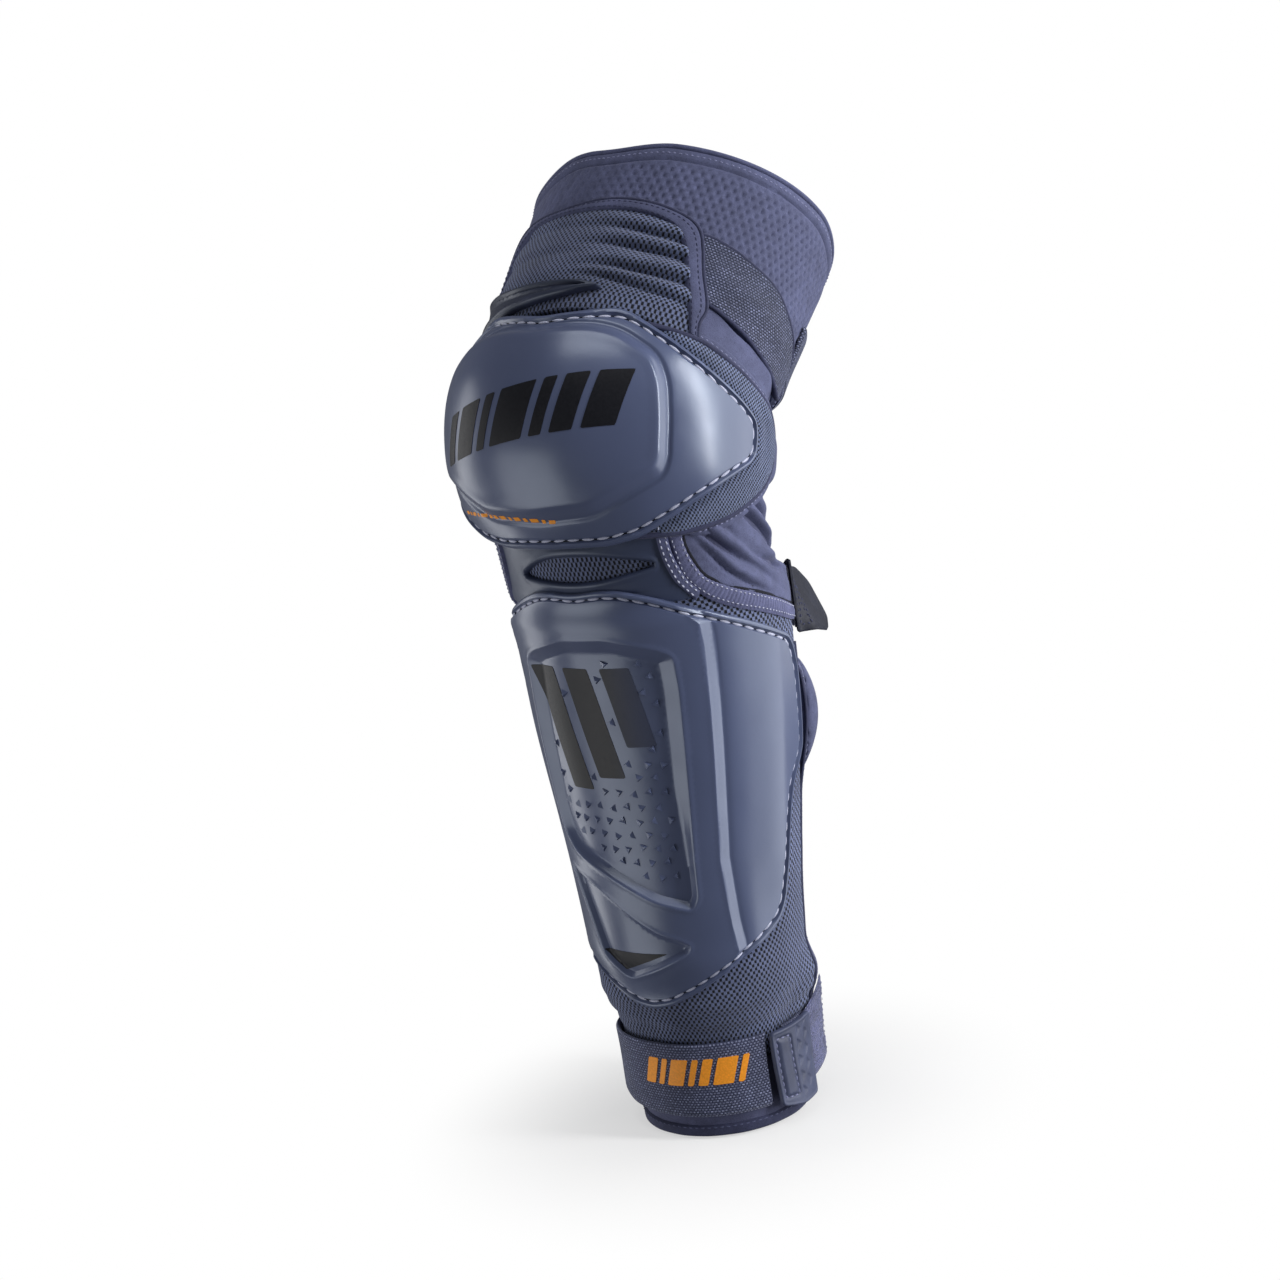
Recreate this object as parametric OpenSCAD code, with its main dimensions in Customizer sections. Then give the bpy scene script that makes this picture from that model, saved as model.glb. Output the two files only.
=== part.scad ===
// A shin, knee and thigh guard for one leg, bent at the knee. The ankle opening
// is centred on the origin at z = 0 and the shin rises along +Z. The front faces
// -Y, the outer side is +X, and the thigh leans back towards +Y.

/* [Leg] */
// Inner radius of the ankle opening
ankle_r = 42; // [40:0.5:44]
// Extra width of the calf, knee and thigh over the standard leg
girth = 0; // [-1:0.5:2]
// Bend built into the guard at the knee, in degrees
bend = 42; // [40:1:44]

/* [Layers] */
// Thickness of the inner lining
liner_t = 1.3; // [1:0.1:1.3]
// Outer face of the shin foam, from the leg
foam_h = 8; // [6:0.5:8]
// Thickness of the moulded shin shell
shell_t = 2.5; // [2:0.1:3]
// Thickness of the moulded knee cup
cup_t = 3; // [2:0.1:3.5]
// Extra height of the knee cup's dome at its middle
cup_dome = 12; // [8:0.5:13]

/* [Shin shell] */
// Half angle of the raised centre panel of the shin shell
panel_a = 35; // [32:1:38]
// Depth of the recess in the centre panel
recess_d = 1; // [0.6:0.1:1.2]
// Half angle of the crease between the front and side faces
crease_a = 50; // [48:1:54]

/* [Straps] */
// Width of the ankle strap
ankle_strap_w = 42; // [38:1:42]
// Height of the ankle strap's lower edge
ankle_strap_z = 9; // [7:0.5:9]
// Thickness of the woven elastic
elastic_t = 2.4; // [1.8:0.1:2.4]
// Width of the calf strap
calf_strap_w = 40; // [34:1:42]

/* [Hidden] */

slate = [0.30, 0.34, 0.44];
slate_dark = [0.17, 0.19, 0.26];
lavender = [0.36, 0.37, 0.50];
mesh_dark = [0.14, 0.16, 0.22];
woven = [0.26, 0.28, 0.38];
rubber_black = [0.10, 0.11, 0.15];
foam_grey = [0.20, 0.20, 0.24];

$fn = 96;

// ---- leg form -----------------------------------------------------------
// Every place on the guard has three coordinates: along, the distance up the
// centreline; angle, in degrees from the front towards the outer side; and
// out, the height above the leg.
shin_end = 308;     // the centreline is straight up to here
thigh_start = 398;  // and straight again from here
bend_radius = (thigh_start - shin_end) / (bend * PI / 180);
cuff_top = 36;

// Leg sections: [along, half width, front depth, back depth,
// how far the section's centre sits forward of the centreline]
leg = [
  [0, ankle_r, ankle_r, ankle_r, 0],
  [cuff_top - 1, ankle_r, ankle_r, ankle_r, 0],
  [80, 45 + girth, 43, 47, 0],
  [125, 48 + girth, 45, 53, 0],
  [175, 54 + girth, 47, 60, 0],
  [225, 60 + girth, 50, 65, 0],
  [275, 63 + girth, 53, 62, 0],
  [315, 65 + girth, 58, 53, 5],
  [355, 68 + girth, 68, 50, 14],
  [395, 70 + girth, 70, 56, 19],
  [435, 73 + girth, 66, 63, 20],
  [475, 76 + girth, 66, 68, 19],
  [520, 79 + girth, 68, 71, 18]];
last_section = len(leg) - 1;

function clamp(x, low, high) = min(max(x, low), high);

// Cubic Hermite interpolation of one column of the leg table
function section_below(along, i = 0) =
  (i >= last_section - 1 || along < leg[i + 1][0]) ? i : section_below(along, i + 1);
function leg_slope(i, column) =
  let(a = leg[max(i - 1, 0)], b = leg[min(i + 1, last_section)])
  (b[column] - a[column]) / (b[0] - a[0]);
function leg_size(along, column) =
  let(place = clamp(along, leg[0][0], leg[last_section][0]),
      i = section_below(place),
      span = leg[i + 1][0] - leg[i][0],
      u = (place - leg[i][0]) / span)
  leg[i][column] * (2*u*u*u - 3*u*u + 1)
  + leg[i + 1][column] * (3*u*u - 2*u*u*u)
  + leg_slope(i, column) * span * (u*u*u - 2*u*u + u)
  + leg_slope(i + 1, column) * span * (u*u*u - u*u);

// The centreline: straight, then an arc, then straight
function tilt(along) = bend * clamp((along - shin_end) / (thigh_start - shin_end), 0, 1);
function centreline(along) =
  let(lean = tilt(along), past = max(along - thigh_start, 0))
  [0, bend_radius * (1 - cos(lean)) + past * sin(lean),
   min(along, shin_end) + bend_radius * sin(lean) + past * cos(lean)];

function on_leg(along, angle, out) =
  let(lean = tilt(along),
      depth = leg_size(along, cos(angle) > 0 ? 2 : 3) + out,
      forward = depth * cos(angle) + leg_size(along, 4))
  centreline(along)
  + [(leg_size(along, 1) + out) * sin(angle), -cos(lean) * forward, sin(lean) * forward];

// ---- shaping ------------------------------------------------------------
// Evenly spaced values, ends included
function steps(from, to, count) = [for (i = [0:count]) from + (to - from) * i / count];
// The same span of angles on the outer side (side = 1) or the inner side (-1)
function side_steps(side, from, to, count) =
  side > 0 ? steps(from, to, count) : steps(-to, -from, count);
// Angles all the way round, for closed rings
function round_leg(step) = [for (angle = [0:step:359]) angle];
// A list of angles from 0 up, with its mirror image put before it
function mirrored(half) = concat([for (i = [len(half) - 1:-1:1]) -half[i]], half);
function from_front(angle) = abs(angle > 180 ? 360 - angle : angle);

// Smooth rise from 0 to 1, and fall from 1 to 0, between two values of x
function ease(x, from, to) = let(u = clamp((x - from) / (to - from), 0, 1)) u*u*(3 - 2*u);
function fade(x, from, to) = 1 - ease(x, from, to);
// Half a sine wave between two values of x
function arch(x, from, to) = sin(180 * (x - from) / (to - from));
// Flat-topped fall from 1 at x = 0 to 0 at the reach
function dome(x, reach) = max(0, 1 - pow(x / reach, 2.6));

// An edge is a number, a table of [angle from the front, along] or a
// function of angle. A height is a number or a function of (along, angle).
function edge_at(edge, angle) =
  is_function(edge) ? edge(angle)
  : is_list(edge) ? lookup(from_front(angle), edge) : edge;
function height_at(height, along, angle) =
  is_function(height) ? height(along, angle) : height;

function quad(a, b, c, d) = [[a, b, c], [a, c, d]];

// A closed skin over the leg between a low and a high edge, and between
// an inner and an outer height. A ring joins its last angle to its first.
module skin(angles, low, high, inner, outer, rows, ring = false) {
  count = len(angles);
  layer = count * (rows + 1);
  last = ring ? count - 1 : count - 2;
  function face_points(height) =
    [for (row = [0:rows]) for (angle = angles)
      let(bottom = edge_at(low, angle), top = edge_at(high, angle),
          along = bottom + (top - bottom) * row / rows)
      on_leg(along, angle, height_at(height, along, angle))];
  wide_faces = [for (row = [0:rows-1]) for (i = [0:last])
    let(a = row * count + i, b = row * count + (i + 1) % count)
    each concat(quad(a, a + count, b + count, b),
      quad(layer + a, layer + b, layer + b + count, layer + a + count))];
  edge_faces = [for (i = [0:last])
    let(a = i, b = (i + 1) % count, c = rows * count + a, d = rows * count + b)
    each concat(quad(a, b, b + layer, a + layer), quad(d, c, c + layer, d + layer))];
  end_faces = ring ? [] : [for (row = [0:rows-1])
    let(a = row * count, b = a + count - 1)
    each concat(quad(a + count, a, a + layer, a + count + layer),
      quad(b, b + count, b + count + layer, b + layer))];
  polyhedron(points = concat(face_points(outer), face_points(inner)),
    faces = concat(wide_faces, edge_faces, end_faces), convexity = 8);
}

// A flat tab that stands off its strap. It runs from a seam on the guard
// in the direction yaw, which turns from +X about the leg's own axis; its
// free end is cut off at the corners over the length of the tip.
module flat_tab(along, angle, out, length, width, thick, tip, yaw) {
  seam = 0.5;
  translate(on_leg(along, angle, out)) rotate([-tilt(along), 0, 0]) rotate([0, 0, yaw])
    translate([0, 0, -width / 2]) rotate([90, 0, 0]) linear_extrude(thick)
      polygon([[seam, 0], [length - tip, 0], [length, width * 0.22],
        [length, width * 0.78], [length - tip, width], [seam, width]]);
}

// ---- ankle --------------------------------------------------------------
cuff_t = 3;
ankle_strap_in = ankle_r + 5.2;
ankle_strap_out = ankle_strap_in + elastic_t;
ankle_strap_top = ankle_strap_z + ankle_strap_w;

// Part of an upright ring round the ankle, between two angles
module arc_ring(from, to, inner, outer, low, high) {
  rotate([0, 0, from - 90]) rotate_extrude(angle = to - from)
    translate([inner, low]) square([outer - inner, high - low]);
}
module ankle_cuff() {
  color(lavender) rotate_extrude() translate([ankle_r, 0])
    polygon([[0, 0], [cuff_t, 0], [cuff_t, cuff_top], [0, cuff_top]]);
}
module ankle_hem_binding() {
  color(slate_dark) rotate_extrude() translate([ankle_r + cuff_t + 0.1, 0])
    polygon([[0, 0], [1.2, 0.6], [1.8, 2.5], [1.2, 5.5], [0, 6.4]]);
}
module ankle_strap() {
  color(woven) arc_ring(from = 78, to = 424, inner = ankle_strap_in,
    outer = ankle_strap_out, low = ankle_strap_z, high = ankle_strap_top);
}
module ankle_loop_patch() {
  color(lavender) arc_ring(from = 82, to = 116, inner = ankle_strap_out + 0.2,
    outer = ankle_strap_out + 1.4, low = ankle_strap_z + 1, high = ankle_strap_top - 1);
}
module ankle_strap_tab() {
  color(rubber_black) arc_ring(from = 65, to = 100, inner = ankle_r + 9.9,
    outer = ankle_r + 12, low = ankle_strap_z + 2, high = ankle_strap_top + 1);
}
module ankle_hook_patch() {
  color(slate_dark) arc_ring(from = 72, to = 98, inner = ankle_r + 9.1,
    outer = ankle_r + 9.8, low = ankle_strap_z + 4, high = ankle_strap_top - 2);
}

// ---- shin ---------------------------------------------------------------
sleeve_low = cuff_top + 0.5;
sleeve_top = 301;

// Heights grow from a thin value under the ankle strap to a full one above it
function taper(along, thin, full) = thin + (full - thin) * ease(along, 50, 77);

module shin_liner() {
  color(foam_grey) skin(round_leg(15), low = sleeve_low, high = sleeve_top - 1,
    inner = 0, outer = liner_t, rows = 7, ring = true);
}
module shin_foam() {
  color(foam_grey) skin(steps(-74, 74, 12), low = 90, high = 292,
    inner = 2.4, outer = foam_h, rows = 8);
}
module shin_mesh_sleeve() {
  color(mesh_dark) skin(steps(-110, 110, 20), low = sleeve_low,
    high = function(angle) sleeve_top - 6 * ease(abs(angle), 50, 95),
    inner = function(along, angle) taper(along, 1.8, foam_h + 0.8),
    outer = function(along, angle) taper(along, 3, foam_h + 2.2), rows = 13);
}

shell_angles = mirrored([0, 14, 27, 31, 36, 42, 50, 60, 70, 79, 89, 95, 100, 106]);
// Shell edges: [angle from the front, along]
shell_low = [[0, 74], [27, 83], [49, 96], [70, 106],
  [79, 112], [85, 124], [89, 146], [92, 177], [98, 188], [106, 200]];
shell_high = [[0, 307], [17, 308], [32, 302], [44, 295],
  [64, 284], [95, 267], [100, 255], [106, 226]];
// Outer face: a raised centre panel with a recess in it, a valley, then a
// crease and a flat side face
shell_face = function(along, angle)
  let(off = abs(angle),
      panel_edge = panel_a * (0.72 + 0.28 * ease(along, 90, 150)),
      raised = fade(off, panel_edge + 1, panel_edge + 7) * fade(along, 284, 296),
      recess = fade(off, panel_edge - 8, panel_edge - 4)
        * ease(along, 92, 102) * fade(along, 272, 280),
      crease = fade(abs(off - crease_a), 1, 9)
        * fade(along, 284, 300) * ease(along, 96, 110))
  foam_h + 2.8 + shell_t + 2.2 * raised - recess_d * recess + 1.2 * crease;
module shin_shell() {
  color(slate) skin(shell_angles, low = shell_low, high = shell_high,
    inner = foam_h + 3.1, outer = shell_face, rows = 14);
}

// ---- calf ---------------------------------------------------------------
module calf_panel() {
  color(lavender) skin(steps(111, 249, 12), low = sleeve_low, high = sleeve_top - 2.8,
    inner = 2, outer = function(along, angle) taper(along, 2.8, 5.6), rows = 10);
}

pad_low = 196;
pad_high = 252;
pad_span = 26;   // degrees round the leg
pad_start = 113;
module calf_side_pad(start) {
  color(lavender) skin(steps(start, start + pad_span, 6), low = pad_low, high = pad_high,
    inner = 6.2, outer = function(along, angle)
      6.7 + 5.3 * arch(along, pad_low, pad_high) * arch(angle, start, start + pad_span),
    rows = 6);
}
module calf_side_pad_outer() calf_side_pad(pad_start);
module calf_side_pad_inner() calf_side_pad(360 - pad_start - pad_span);

calf_strap_top = 297;
calf_strap_low = calf_strap_top - calf_strap_w;
calf_strap_in = 6.3;
calf_strap_out = calf_strap_in + elastic_t;
module calf_strap() {
  color(woven) skin(steps(112, 248, 14), low = calf_strap_low, high = calf_strap_top,
    inner = calf_strap_in, outer = calf_strap_out, rows = 4);
}
module calf_loop_patch() {
  color(lavender) skin(steps(128, 176, 5),
    low = calf_strap_low + 1.5, high = calf_strap_top - 1.5,
    inner = calf_strap_out + 0.8, outer = calf_strap_out + 1.8, rows = 4);
}
module calf_tab(out, length, width, thick, tip) {
  flat_tab(along = calf_strap_low + calf_strap_w / 2, angle = 120, out = out,
    length = length, width = width, thick = thick, tip = tip, yaw = 113);
}
module calf_strap_tab() {
  color(rubber_black)
    calf_tab(out = 12.2, length = 44, width = calf_strap_w, thick = 2, tip = 12);
}
module calf_hook_patch() {
  color(slate_dark)
    calf_tab(out = 11, length = 34, width = calf_strap_w - 6, thick = 1, tip = 4);
}
module calf_top_binding() {
  color(slate_dark) skin(steps(112, 248, 12), low = sleeve_top - 2.6,
    high = sleeve_top - 0.2, inner = 1.9, outer = 6, rows = 1);
}

// ---- knee ---------------------------------------------------------------
knee_low = sleeve_top + 0.2;

// Stretch pieces that bridge the shin and the knee
gusset_low = [[44, 303], [54, 304], [64, 303], [92, 299]];
gusset_high = [[44, 321], [55, 326], [66, 328], [80, 336], [92, 342]];
module knee_gusset(side) {
  color(lavender) skin(side_steps(side, 45, 92, 6),
    low = function(angle) edge_at(gusset_low, angle) - 0.6, high = gusset_high,
    inner = 4, outer = function(along, angle) 9 + 1.5 * arch(along, 300, 334), rows = 3);
}
module knee_gusset_outer() knee_gusset(1);
module knee_gusset_inner() knee_gusset(-1);
module bridge_shell() {
  color(slate_dark) skin(steps(-41, 41, 10), low = 308.6,
    high = [[0, 325], [25, 325], [41, 328]], inner = 8.4, outer = 11, rows = 4);
}
module bridge_mesh() {
  color(mesh_dark) skin(steps(-26, 36, 6), low = 311, high = 319,
    inner = 6, outer = 8, rows = 1);
}
module knee_lining() {
  color(foam_grey) skin(round_leg(15), low = knee_low,
    high = function(angle) thigh_low(angle) - 0.4,
    inner = 0, outer = 1.2, rows = 10, ring = true);
}
module knee_back_panel() {
  color(mesh_dark) skin(steps(106, 254, 12), low = knee_low, high = 399.4,
    inner = 2, outer = 3.8, rows = 10);
}
module knee_foam() {
  color(foam_grey) skin(steps(-74, 74, 14),
    low = function(angle) 330 + 6 * ease(abs(angle), 50, 66), high = 385,
    inner = 2, outer = 10.6, rows = 6);
}

surround_half = 102;  // half angle of the mesh round the cup
surround_low = [[0, 326], [42.5, 325.5], [52, 331], [72, 333], [90, 342], [102, 354]];
surround_high = [[0, 388], [42, 391], [51, 390], [57, 389],
  [84, 383], [95, 378], [102, 370]];
module knee_mesh_surround() {
  color(mesh_dark) skin(steps(-surround_half, surround_half, 18),
    low = function(angle) edge_at(surround_low, angle) + 1,
    high = function(angle) edge_at(surround_high, angle) - 1,
    inner = 11.9, outer = 13.9, rows = 5);
}
module knee_side_pads() {
  low = 350;
  high = 372;
  color(lavender) for (side = [-1, 1])
    skin(side_steps(side, 80, 104, 4), low = low, high = high,
      inner = 3, outer = function(along, angle) 8 + 3 * arch(along, low, high), rows = 3);
}

cup_seat = 14.6;  // outer face of the surround's binding
// Each strip starts at the surround's fourth angle step from the front
module knee_surround_binding() {
  width = 2;
  color(slate_dark) for (side = [-1, 1])
    for (strip = [[surround_low, -1.6], [surround_high, -0.4]])
      skin(side_steps(side, surround_half * 4 / 9, surround_half, 5),
        low = function(angle) edge_at(strip[0], angle) + strip[1],
        high = function(angle) edge_at(strip[0], angle) + strip[1] + width,
        inner = 11.7, outer = cup_seat, rows = 1);
}

cup_angles = mirrored([0, 9, 18, 28, 38, 43, 48, 54, 62, 70, 78, 83]);
cup_low = [[0, 322.5], [22, 322.7], [34, 325],
  [46, 331], [60, 338.5], [78, 350], [83, 357]];
cup_high = [[0, 388.5], [13, 390], [26, 392], [32, 391.5],
  [43, 387], [74, 374], [81, 370], [83, 366]];
// The cup is a dome with a raised front panel whose rim is a soft step
function cup_face(along, angle) =
  let(off = abs(angle),
      panel = fade(off, 40, 50) * ease(along, 328, 338) * fade(along, 381, 388))
  cup_seat + cup_t + cup_dome * dome(off, 85) * dome(abs(along - 356), 34) + 3 * panel;
module knee_cup() {
  color(slate) skin(cup_angles, low = cup_low, high = cup_high,
    inner = function(along, angle) max(cup_seat, cup_face(along, angle) - cup_t - 0.6),
    outer = function(along, angle) cup_face(along, angle), rows = 12);
}

// The fin is lopsided, so its tables use signed angles
fin_low = [[-56, 391], [-40, 394.5], [-20, 397], [0, 398.5], [14, 402]];
fin_high = [[-56, 401], [-40, 405], [-20, 405.5], [0, 405], [14, 403.5]];
module knee_fin() {
  color(rubber_black) skin(steps(-56, 14, 8),
    low = function(angle) lookup(angle, fin_low),
    high = function(angle) lookup(angle, fin_high),
    inner = 13.6, outer = 16.4, rows = 2);
}

// ---- thigh --------------------------------------------------------------
// Lower and upper edge of the thigh cuff
function thigh_low(angle) = 400 + 9 * fade(from_front(angle), 52, 84);
function thigh_high(angle) =
  let(off = from_front(angle))
  489 + 3 * ease(off, 0, 25) * fade(off, 90, 120) - 10 * ease(off, 110, 180);
module thigh_liner() {
  color(foam_grey) skin(round_leg(15), low = function(angle) thigh_low(angle) + 0.2,
    high = function(angle) thigh_high(angle) - 1,
    inner = 0, outer = liner_t, rows = 6, ring = true);
}
module thigh_cuff() {
  color(lavender) skin(round_leg(12), low = function(angle) thigh_low(angle),
    high = function(angle) thigh_high(angle),
    inner = 2.1, outer = 7.6, rows = 8, ring = true);
}
module thigh_top_piping() {
  color(slate_dark) skin(round_leg(12), low = function(angle) thigh_high(angle) + 0.2,
    high = function(angle) thigh_high(angle) + 3.4,
    inner = 1, outer = 8.4, rows = 1, ring = true);
}

// Front mesh panel, with a rippled face, and the trim round its top and sides
mesh_angles = steps(-43, 43, 12);
mesh_low = 394.9;
mesh_high = [[0, 454], [16, 454], [27, 451], [34, 447], [42, 438]];
mesh_in = 8.4;
trim_out = 12.6;
module thigh_mesh_panel() {
  color(mesh_dark) skin(mesh_angles, low = mesh_low, high = mesh_high, inner = mesh_in,
    outer = function(along, angle) 10.6 + 1.6 * pow(arch(along, 395, 410), 2), rows = 10);
}
module thigh_panel_trim() {
  color(slate_dark) {
    skin(mesh_angles, low = function(angle) edge_at(mesh_high, angle) + 0.6,
      high = function(angle) edge_at(mesh_high, angle) + 5,
      inner = mesh_in, outer = trim_out, rows = 1);
    for (side = [-1, 1]) skin(side_steps(side, 44, 48.5, 1), low = mesh_low, high = 446,
      inner = mesh_in, outer = trim_out, rows = 6);
  }
}

thigh_strap_low = 404;
thigh_strap_top = 440;
thigh_strap_in = 8.3;
thigh_strap_out = thigh_strap_in + elastic_t;
elastic_low = [[50, 409], [62, 404.5], [74, 401], [90, 400.5], [110, 400.5]];
elastic_high = [[50, 444], [61, 442], [74, 437], [90, 430], [100, 424], [110, 414]];
module thigh_elastic(side) {
  color(woven) skin(side_steps(side, 50, 110, 8), low = elastic_low, high = elastic_high,
    inner = thigh_strap_in, outer = thigh_strap_out, rows = 3);
}
module thigh_elastic_outer() thigh_elastic(1);
module thigh_elastic_inner() thigh_elastic(-1);
module thigh_strap() {
  color(woven) skin(steps(112, 248, 14), low = thigh_strap_low, high = thigh_strap_top,
    inner = thigh_strap_in, outer = thigh_strap_out, rows = 2);
}
module thigh_loop_patch() {
  color(lavender) skin(steps(206, 242, 4),
    low = thigh_strap_low + 2, high = thigh_strap_top - 2,
    inner = thigh_strap_out + 0.6, outer = thigh_strap_out + 1.6, rows = 1);
}
module thigh_tab(out, length, width, thick, tip) {
  flat_tab(along = (thigh_strap_low + thigh_strap_top) / 2, angle = 200, out = out,
    length = length, width = width, thick = thick, tip = tip, yaw = 194);
}
module thigh_strap_tab() {
  color(rubber_black) thigh_tab(out = 14.6, length = 42, width = 34, thick = 2, tip = 12);
}
module thigh_hook_patch() {
  color(slate_dark) thigh_tab(out = 13.4, length = 32, width = 28, thick = 1, tip = 4);
}
module thigh_grip_strips() {
  pitch = 9;
  width = 3;
  color(lavender) for (i = [0:2]) skin(round_leg(15), low = 455 + pitch * i,
    high = 455 + pitch * i + width, inner = -1, outer = -0.1, rows = 1, ring = true);
}

ankle_cuff();
ankle_hem_binding();
ankle_strap();
ankle_loop_patch();
ankle_strap_tab();
ankle_hook_patch();
shin_liner();
shin_foam();
shin_mesh_sleeve();
shin_shell();
calf_panel();
calf_side_pad_outer();
calf_side_pad_inner();
calf_strap();
calf_loop_patch();
calf_strap_tab();
calf_hook_patch();
calf_top_binding();
knee_gusset_outer();
knee_gusset_inner();
bridge_shell();
bridge_mesh();
knee_lining();
knee_back_panel();
knee_foam();
knee_mesh_surround();
knee_side_pads();
knee_surround_binding();
knee_cup();
knee_fin();
thigh_liner();
thigh_cuff();
thigh_top_piping();
thigh_mesh_panel();
thigh_panel_trim();
thigh_elastic_outer();
thigh_elastic_inner();
thigh_strap();
thigh_loop_patch();
thigh_strap_tab();
thigh_hook_patch();
thigh_grip_strips();
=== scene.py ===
"""A knee and shin guard, worn on a leg that bends at the knee.

The leg stands on +Z with the hem near z = 0. The front faces -Y, the outer side +X, and above
the knee the leg leans back towards +Y. Pieces are laid out in the guard's own coordinates:
run (mm along the centreline from the hem), arc (degrees round from the front, positive towards
the outer side) and rise (mm out from the leg). point() turns these into metres.
"""

import math

import bpy
import numpy as np
from mathutils import Matrix, Vector
from mathutils.geometry import delaunay_2d_cdt
from mathutils.kdtree import KDTree

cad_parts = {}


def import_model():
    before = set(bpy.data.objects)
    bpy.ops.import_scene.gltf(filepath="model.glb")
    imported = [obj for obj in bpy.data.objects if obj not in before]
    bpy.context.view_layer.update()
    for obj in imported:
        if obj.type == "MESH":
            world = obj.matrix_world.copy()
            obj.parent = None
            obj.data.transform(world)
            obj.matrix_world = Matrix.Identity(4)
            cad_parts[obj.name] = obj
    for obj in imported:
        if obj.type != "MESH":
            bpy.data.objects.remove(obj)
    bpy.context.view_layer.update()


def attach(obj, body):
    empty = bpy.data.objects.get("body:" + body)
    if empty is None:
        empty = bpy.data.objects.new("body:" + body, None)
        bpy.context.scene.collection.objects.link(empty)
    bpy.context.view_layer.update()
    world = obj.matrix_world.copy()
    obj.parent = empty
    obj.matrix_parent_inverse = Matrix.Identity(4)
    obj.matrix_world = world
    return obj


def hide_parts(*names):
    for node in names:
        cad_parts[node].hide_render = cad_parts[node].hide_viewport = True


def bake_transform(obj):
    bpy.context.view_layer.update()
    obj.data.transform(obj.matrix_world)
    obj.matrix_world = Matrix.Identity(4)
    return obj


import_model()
COLLECTION = bpy.context.scene.collection
RANDOM = np.random.default_rng(7)

# ---------------------------------------------------------------------------
# The leg and the guard's coordinates
# ---------------------------------------------------------------------------
BEND = math.radians(42.0)
BEND_START, BEND_END = 308.0, 398.0
BEND_RADIUS = (BEND_END - BEND_START) / BEND
FULL_TURN = (0, 360)
SIDES = ((1, "outer"), (-1, "inner"))

# run, half width, front depth, back depth, forward shift of the centre
LEG = np.array([
    (0, 42, 42, 42, 0), (35, 42, 42, 42, 0), (80, 45, 43, 47, 0),
    (125, 48, 45, 53, 0), (175, 54, 47, 60, 0), (225, 60, 50, 65, 0),
    (275, 63, 53, 62, 0), (315, 65, 58, 53, 5), (355, 68, 68, 50, 14),
    (395, 70, 70, 56, 19), (435, 73, 66, 63, 20), (475, 76, 66, 68, 19),
    (520, 79, 68, 71, 18)], float)
STATIONS = LEG[:, 0]
HALF_WIDTH, FRONT, BACK, SHIFT = 1, 2, 3, 4


def leg_size(run, column):
    """One column of LEG, read by a cubic Hermite curve."""
    run = np.clip(np.asarray(run, float), STATIONS[0], STATIONS[-1])
    i = np.clip(np.searchsorted(STATIONS, run, side="right") - 1, 0, len(STATIONS) - 2)
    size = LEG[:, column]
    slope = np.empty_like(size)
    slope[1:-1] = (size[2:] - size[:-2]) / (STATIONS[2:] - STATIONS[:-2])
    slope[0] = (size[1] - size[0]) / (STATIONS[1] - STATIONS[0])
    slope[-1] = (size[-1] - size[-2]) / (STATIONS[-1] - STATIONS[-2])
    gap = STATIONS[i + 1] - STATIONS[i]
    u = (run - STATIONS[i]) / gap
    return (size[i] * (2 * u**3 - 3 * u**2 + 1) + size[i + 1] * (3 * u**2 - 2 * u**3)
            + slope[i] * gap * (u**3 - 2 * u**2 + u) + slope[i + 1] * gap * (u**3 - u**2))


def bend_at(run):
    return BEND * np.clip((run - BEND_START) / (BEND_END - BEND_START), 0, 1)


def point(run, arc, rise):
    """Points on the guard, in metres."""
    run, arc, rise = np.broadcast_arrays(*(np.asarray(v, float) for v in (run, arc, rise)))
    bend = bend_at(run)
    beyond = np.maximum(run - BEND_END, 0)
    cos_arc, sin_arc = np.cos(np.radians(arc)), np.sin(np.radians(arc))
    depth = np.where(cos_arc > 0, leg_size(run, FRONT), leg_size(run, BACK)) + rise
    forward = depth * cos_arc + leg_size(run, SHIFT)
    return np.stack([
        (leg_size(run, HALF_WIDTH) + rise) * sin_arc,
        BEND_RADIUS * (1 - np.cos(bend)) + beyond * np.sin(bend) - np.cos(bend) * forward,
        np.minimum(run, BEND_START) + BEND_RADIUS * np.sin(bend) + beyond * np.cos(bend)
        + np.sin(bend) * forward], -1) / 1000.0


def outward(run, arc):
    """Unit direction in which rise grows; it is the same at every rise."""
    step = point(run, arc, 1.0) - point(run, arc, 0.0)
    return step / np.linalg.norm(step, axis=-1, keepdims=True)


def value_at(field, *place):
    """A field is a function of place or one constant value."""
    return field(*place) if callable(field) else field


def leg_path(run, arc, rise, closed=False):
    """Path for cords and stitches: points, outward directions, whether it closes."""
    return point(run, arc, rise), outward(run, arc), closed


def ring_path(run, rise, count=240):
    arc = np.linspace(*FULL_TURN, count, endpoint=False)
    run = value_at(run, arc) + 0 * arc
    return leg_path(run, arc, value_at(rise, run, arc), True)


# ---------------------------------------------------------------------------
# Shaping functions
# ---------------------------------------------------------------------------
def ease(x, start, end):
    """Smooth step from 0 at start to 1 at end."""
    u = np.clip((np.asarray(x, float) - start) / (end - start), 0, 1)
    return u * u * (3 - 2 * u)


def bump(x, centre, half_width):
    """Round hump of height 1."""
    u = np.clip(np.abs(np.asarray(x, float) - centre) / half_width, 0, 1)
    return (1 - u * u) ** 2


def rounded(inset, radius):
    """Quarter round from 0 at the edge to 1 at radius."""
    return np.sqrt(np.clip(1 - (1 - np.clip(inset / radius, 0, 1)) ** 2, 0, 1))


def round_rim(rise, foot, inset, radius):
    return foot + (rise - foot) * rounded(inset, radius)


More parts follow.
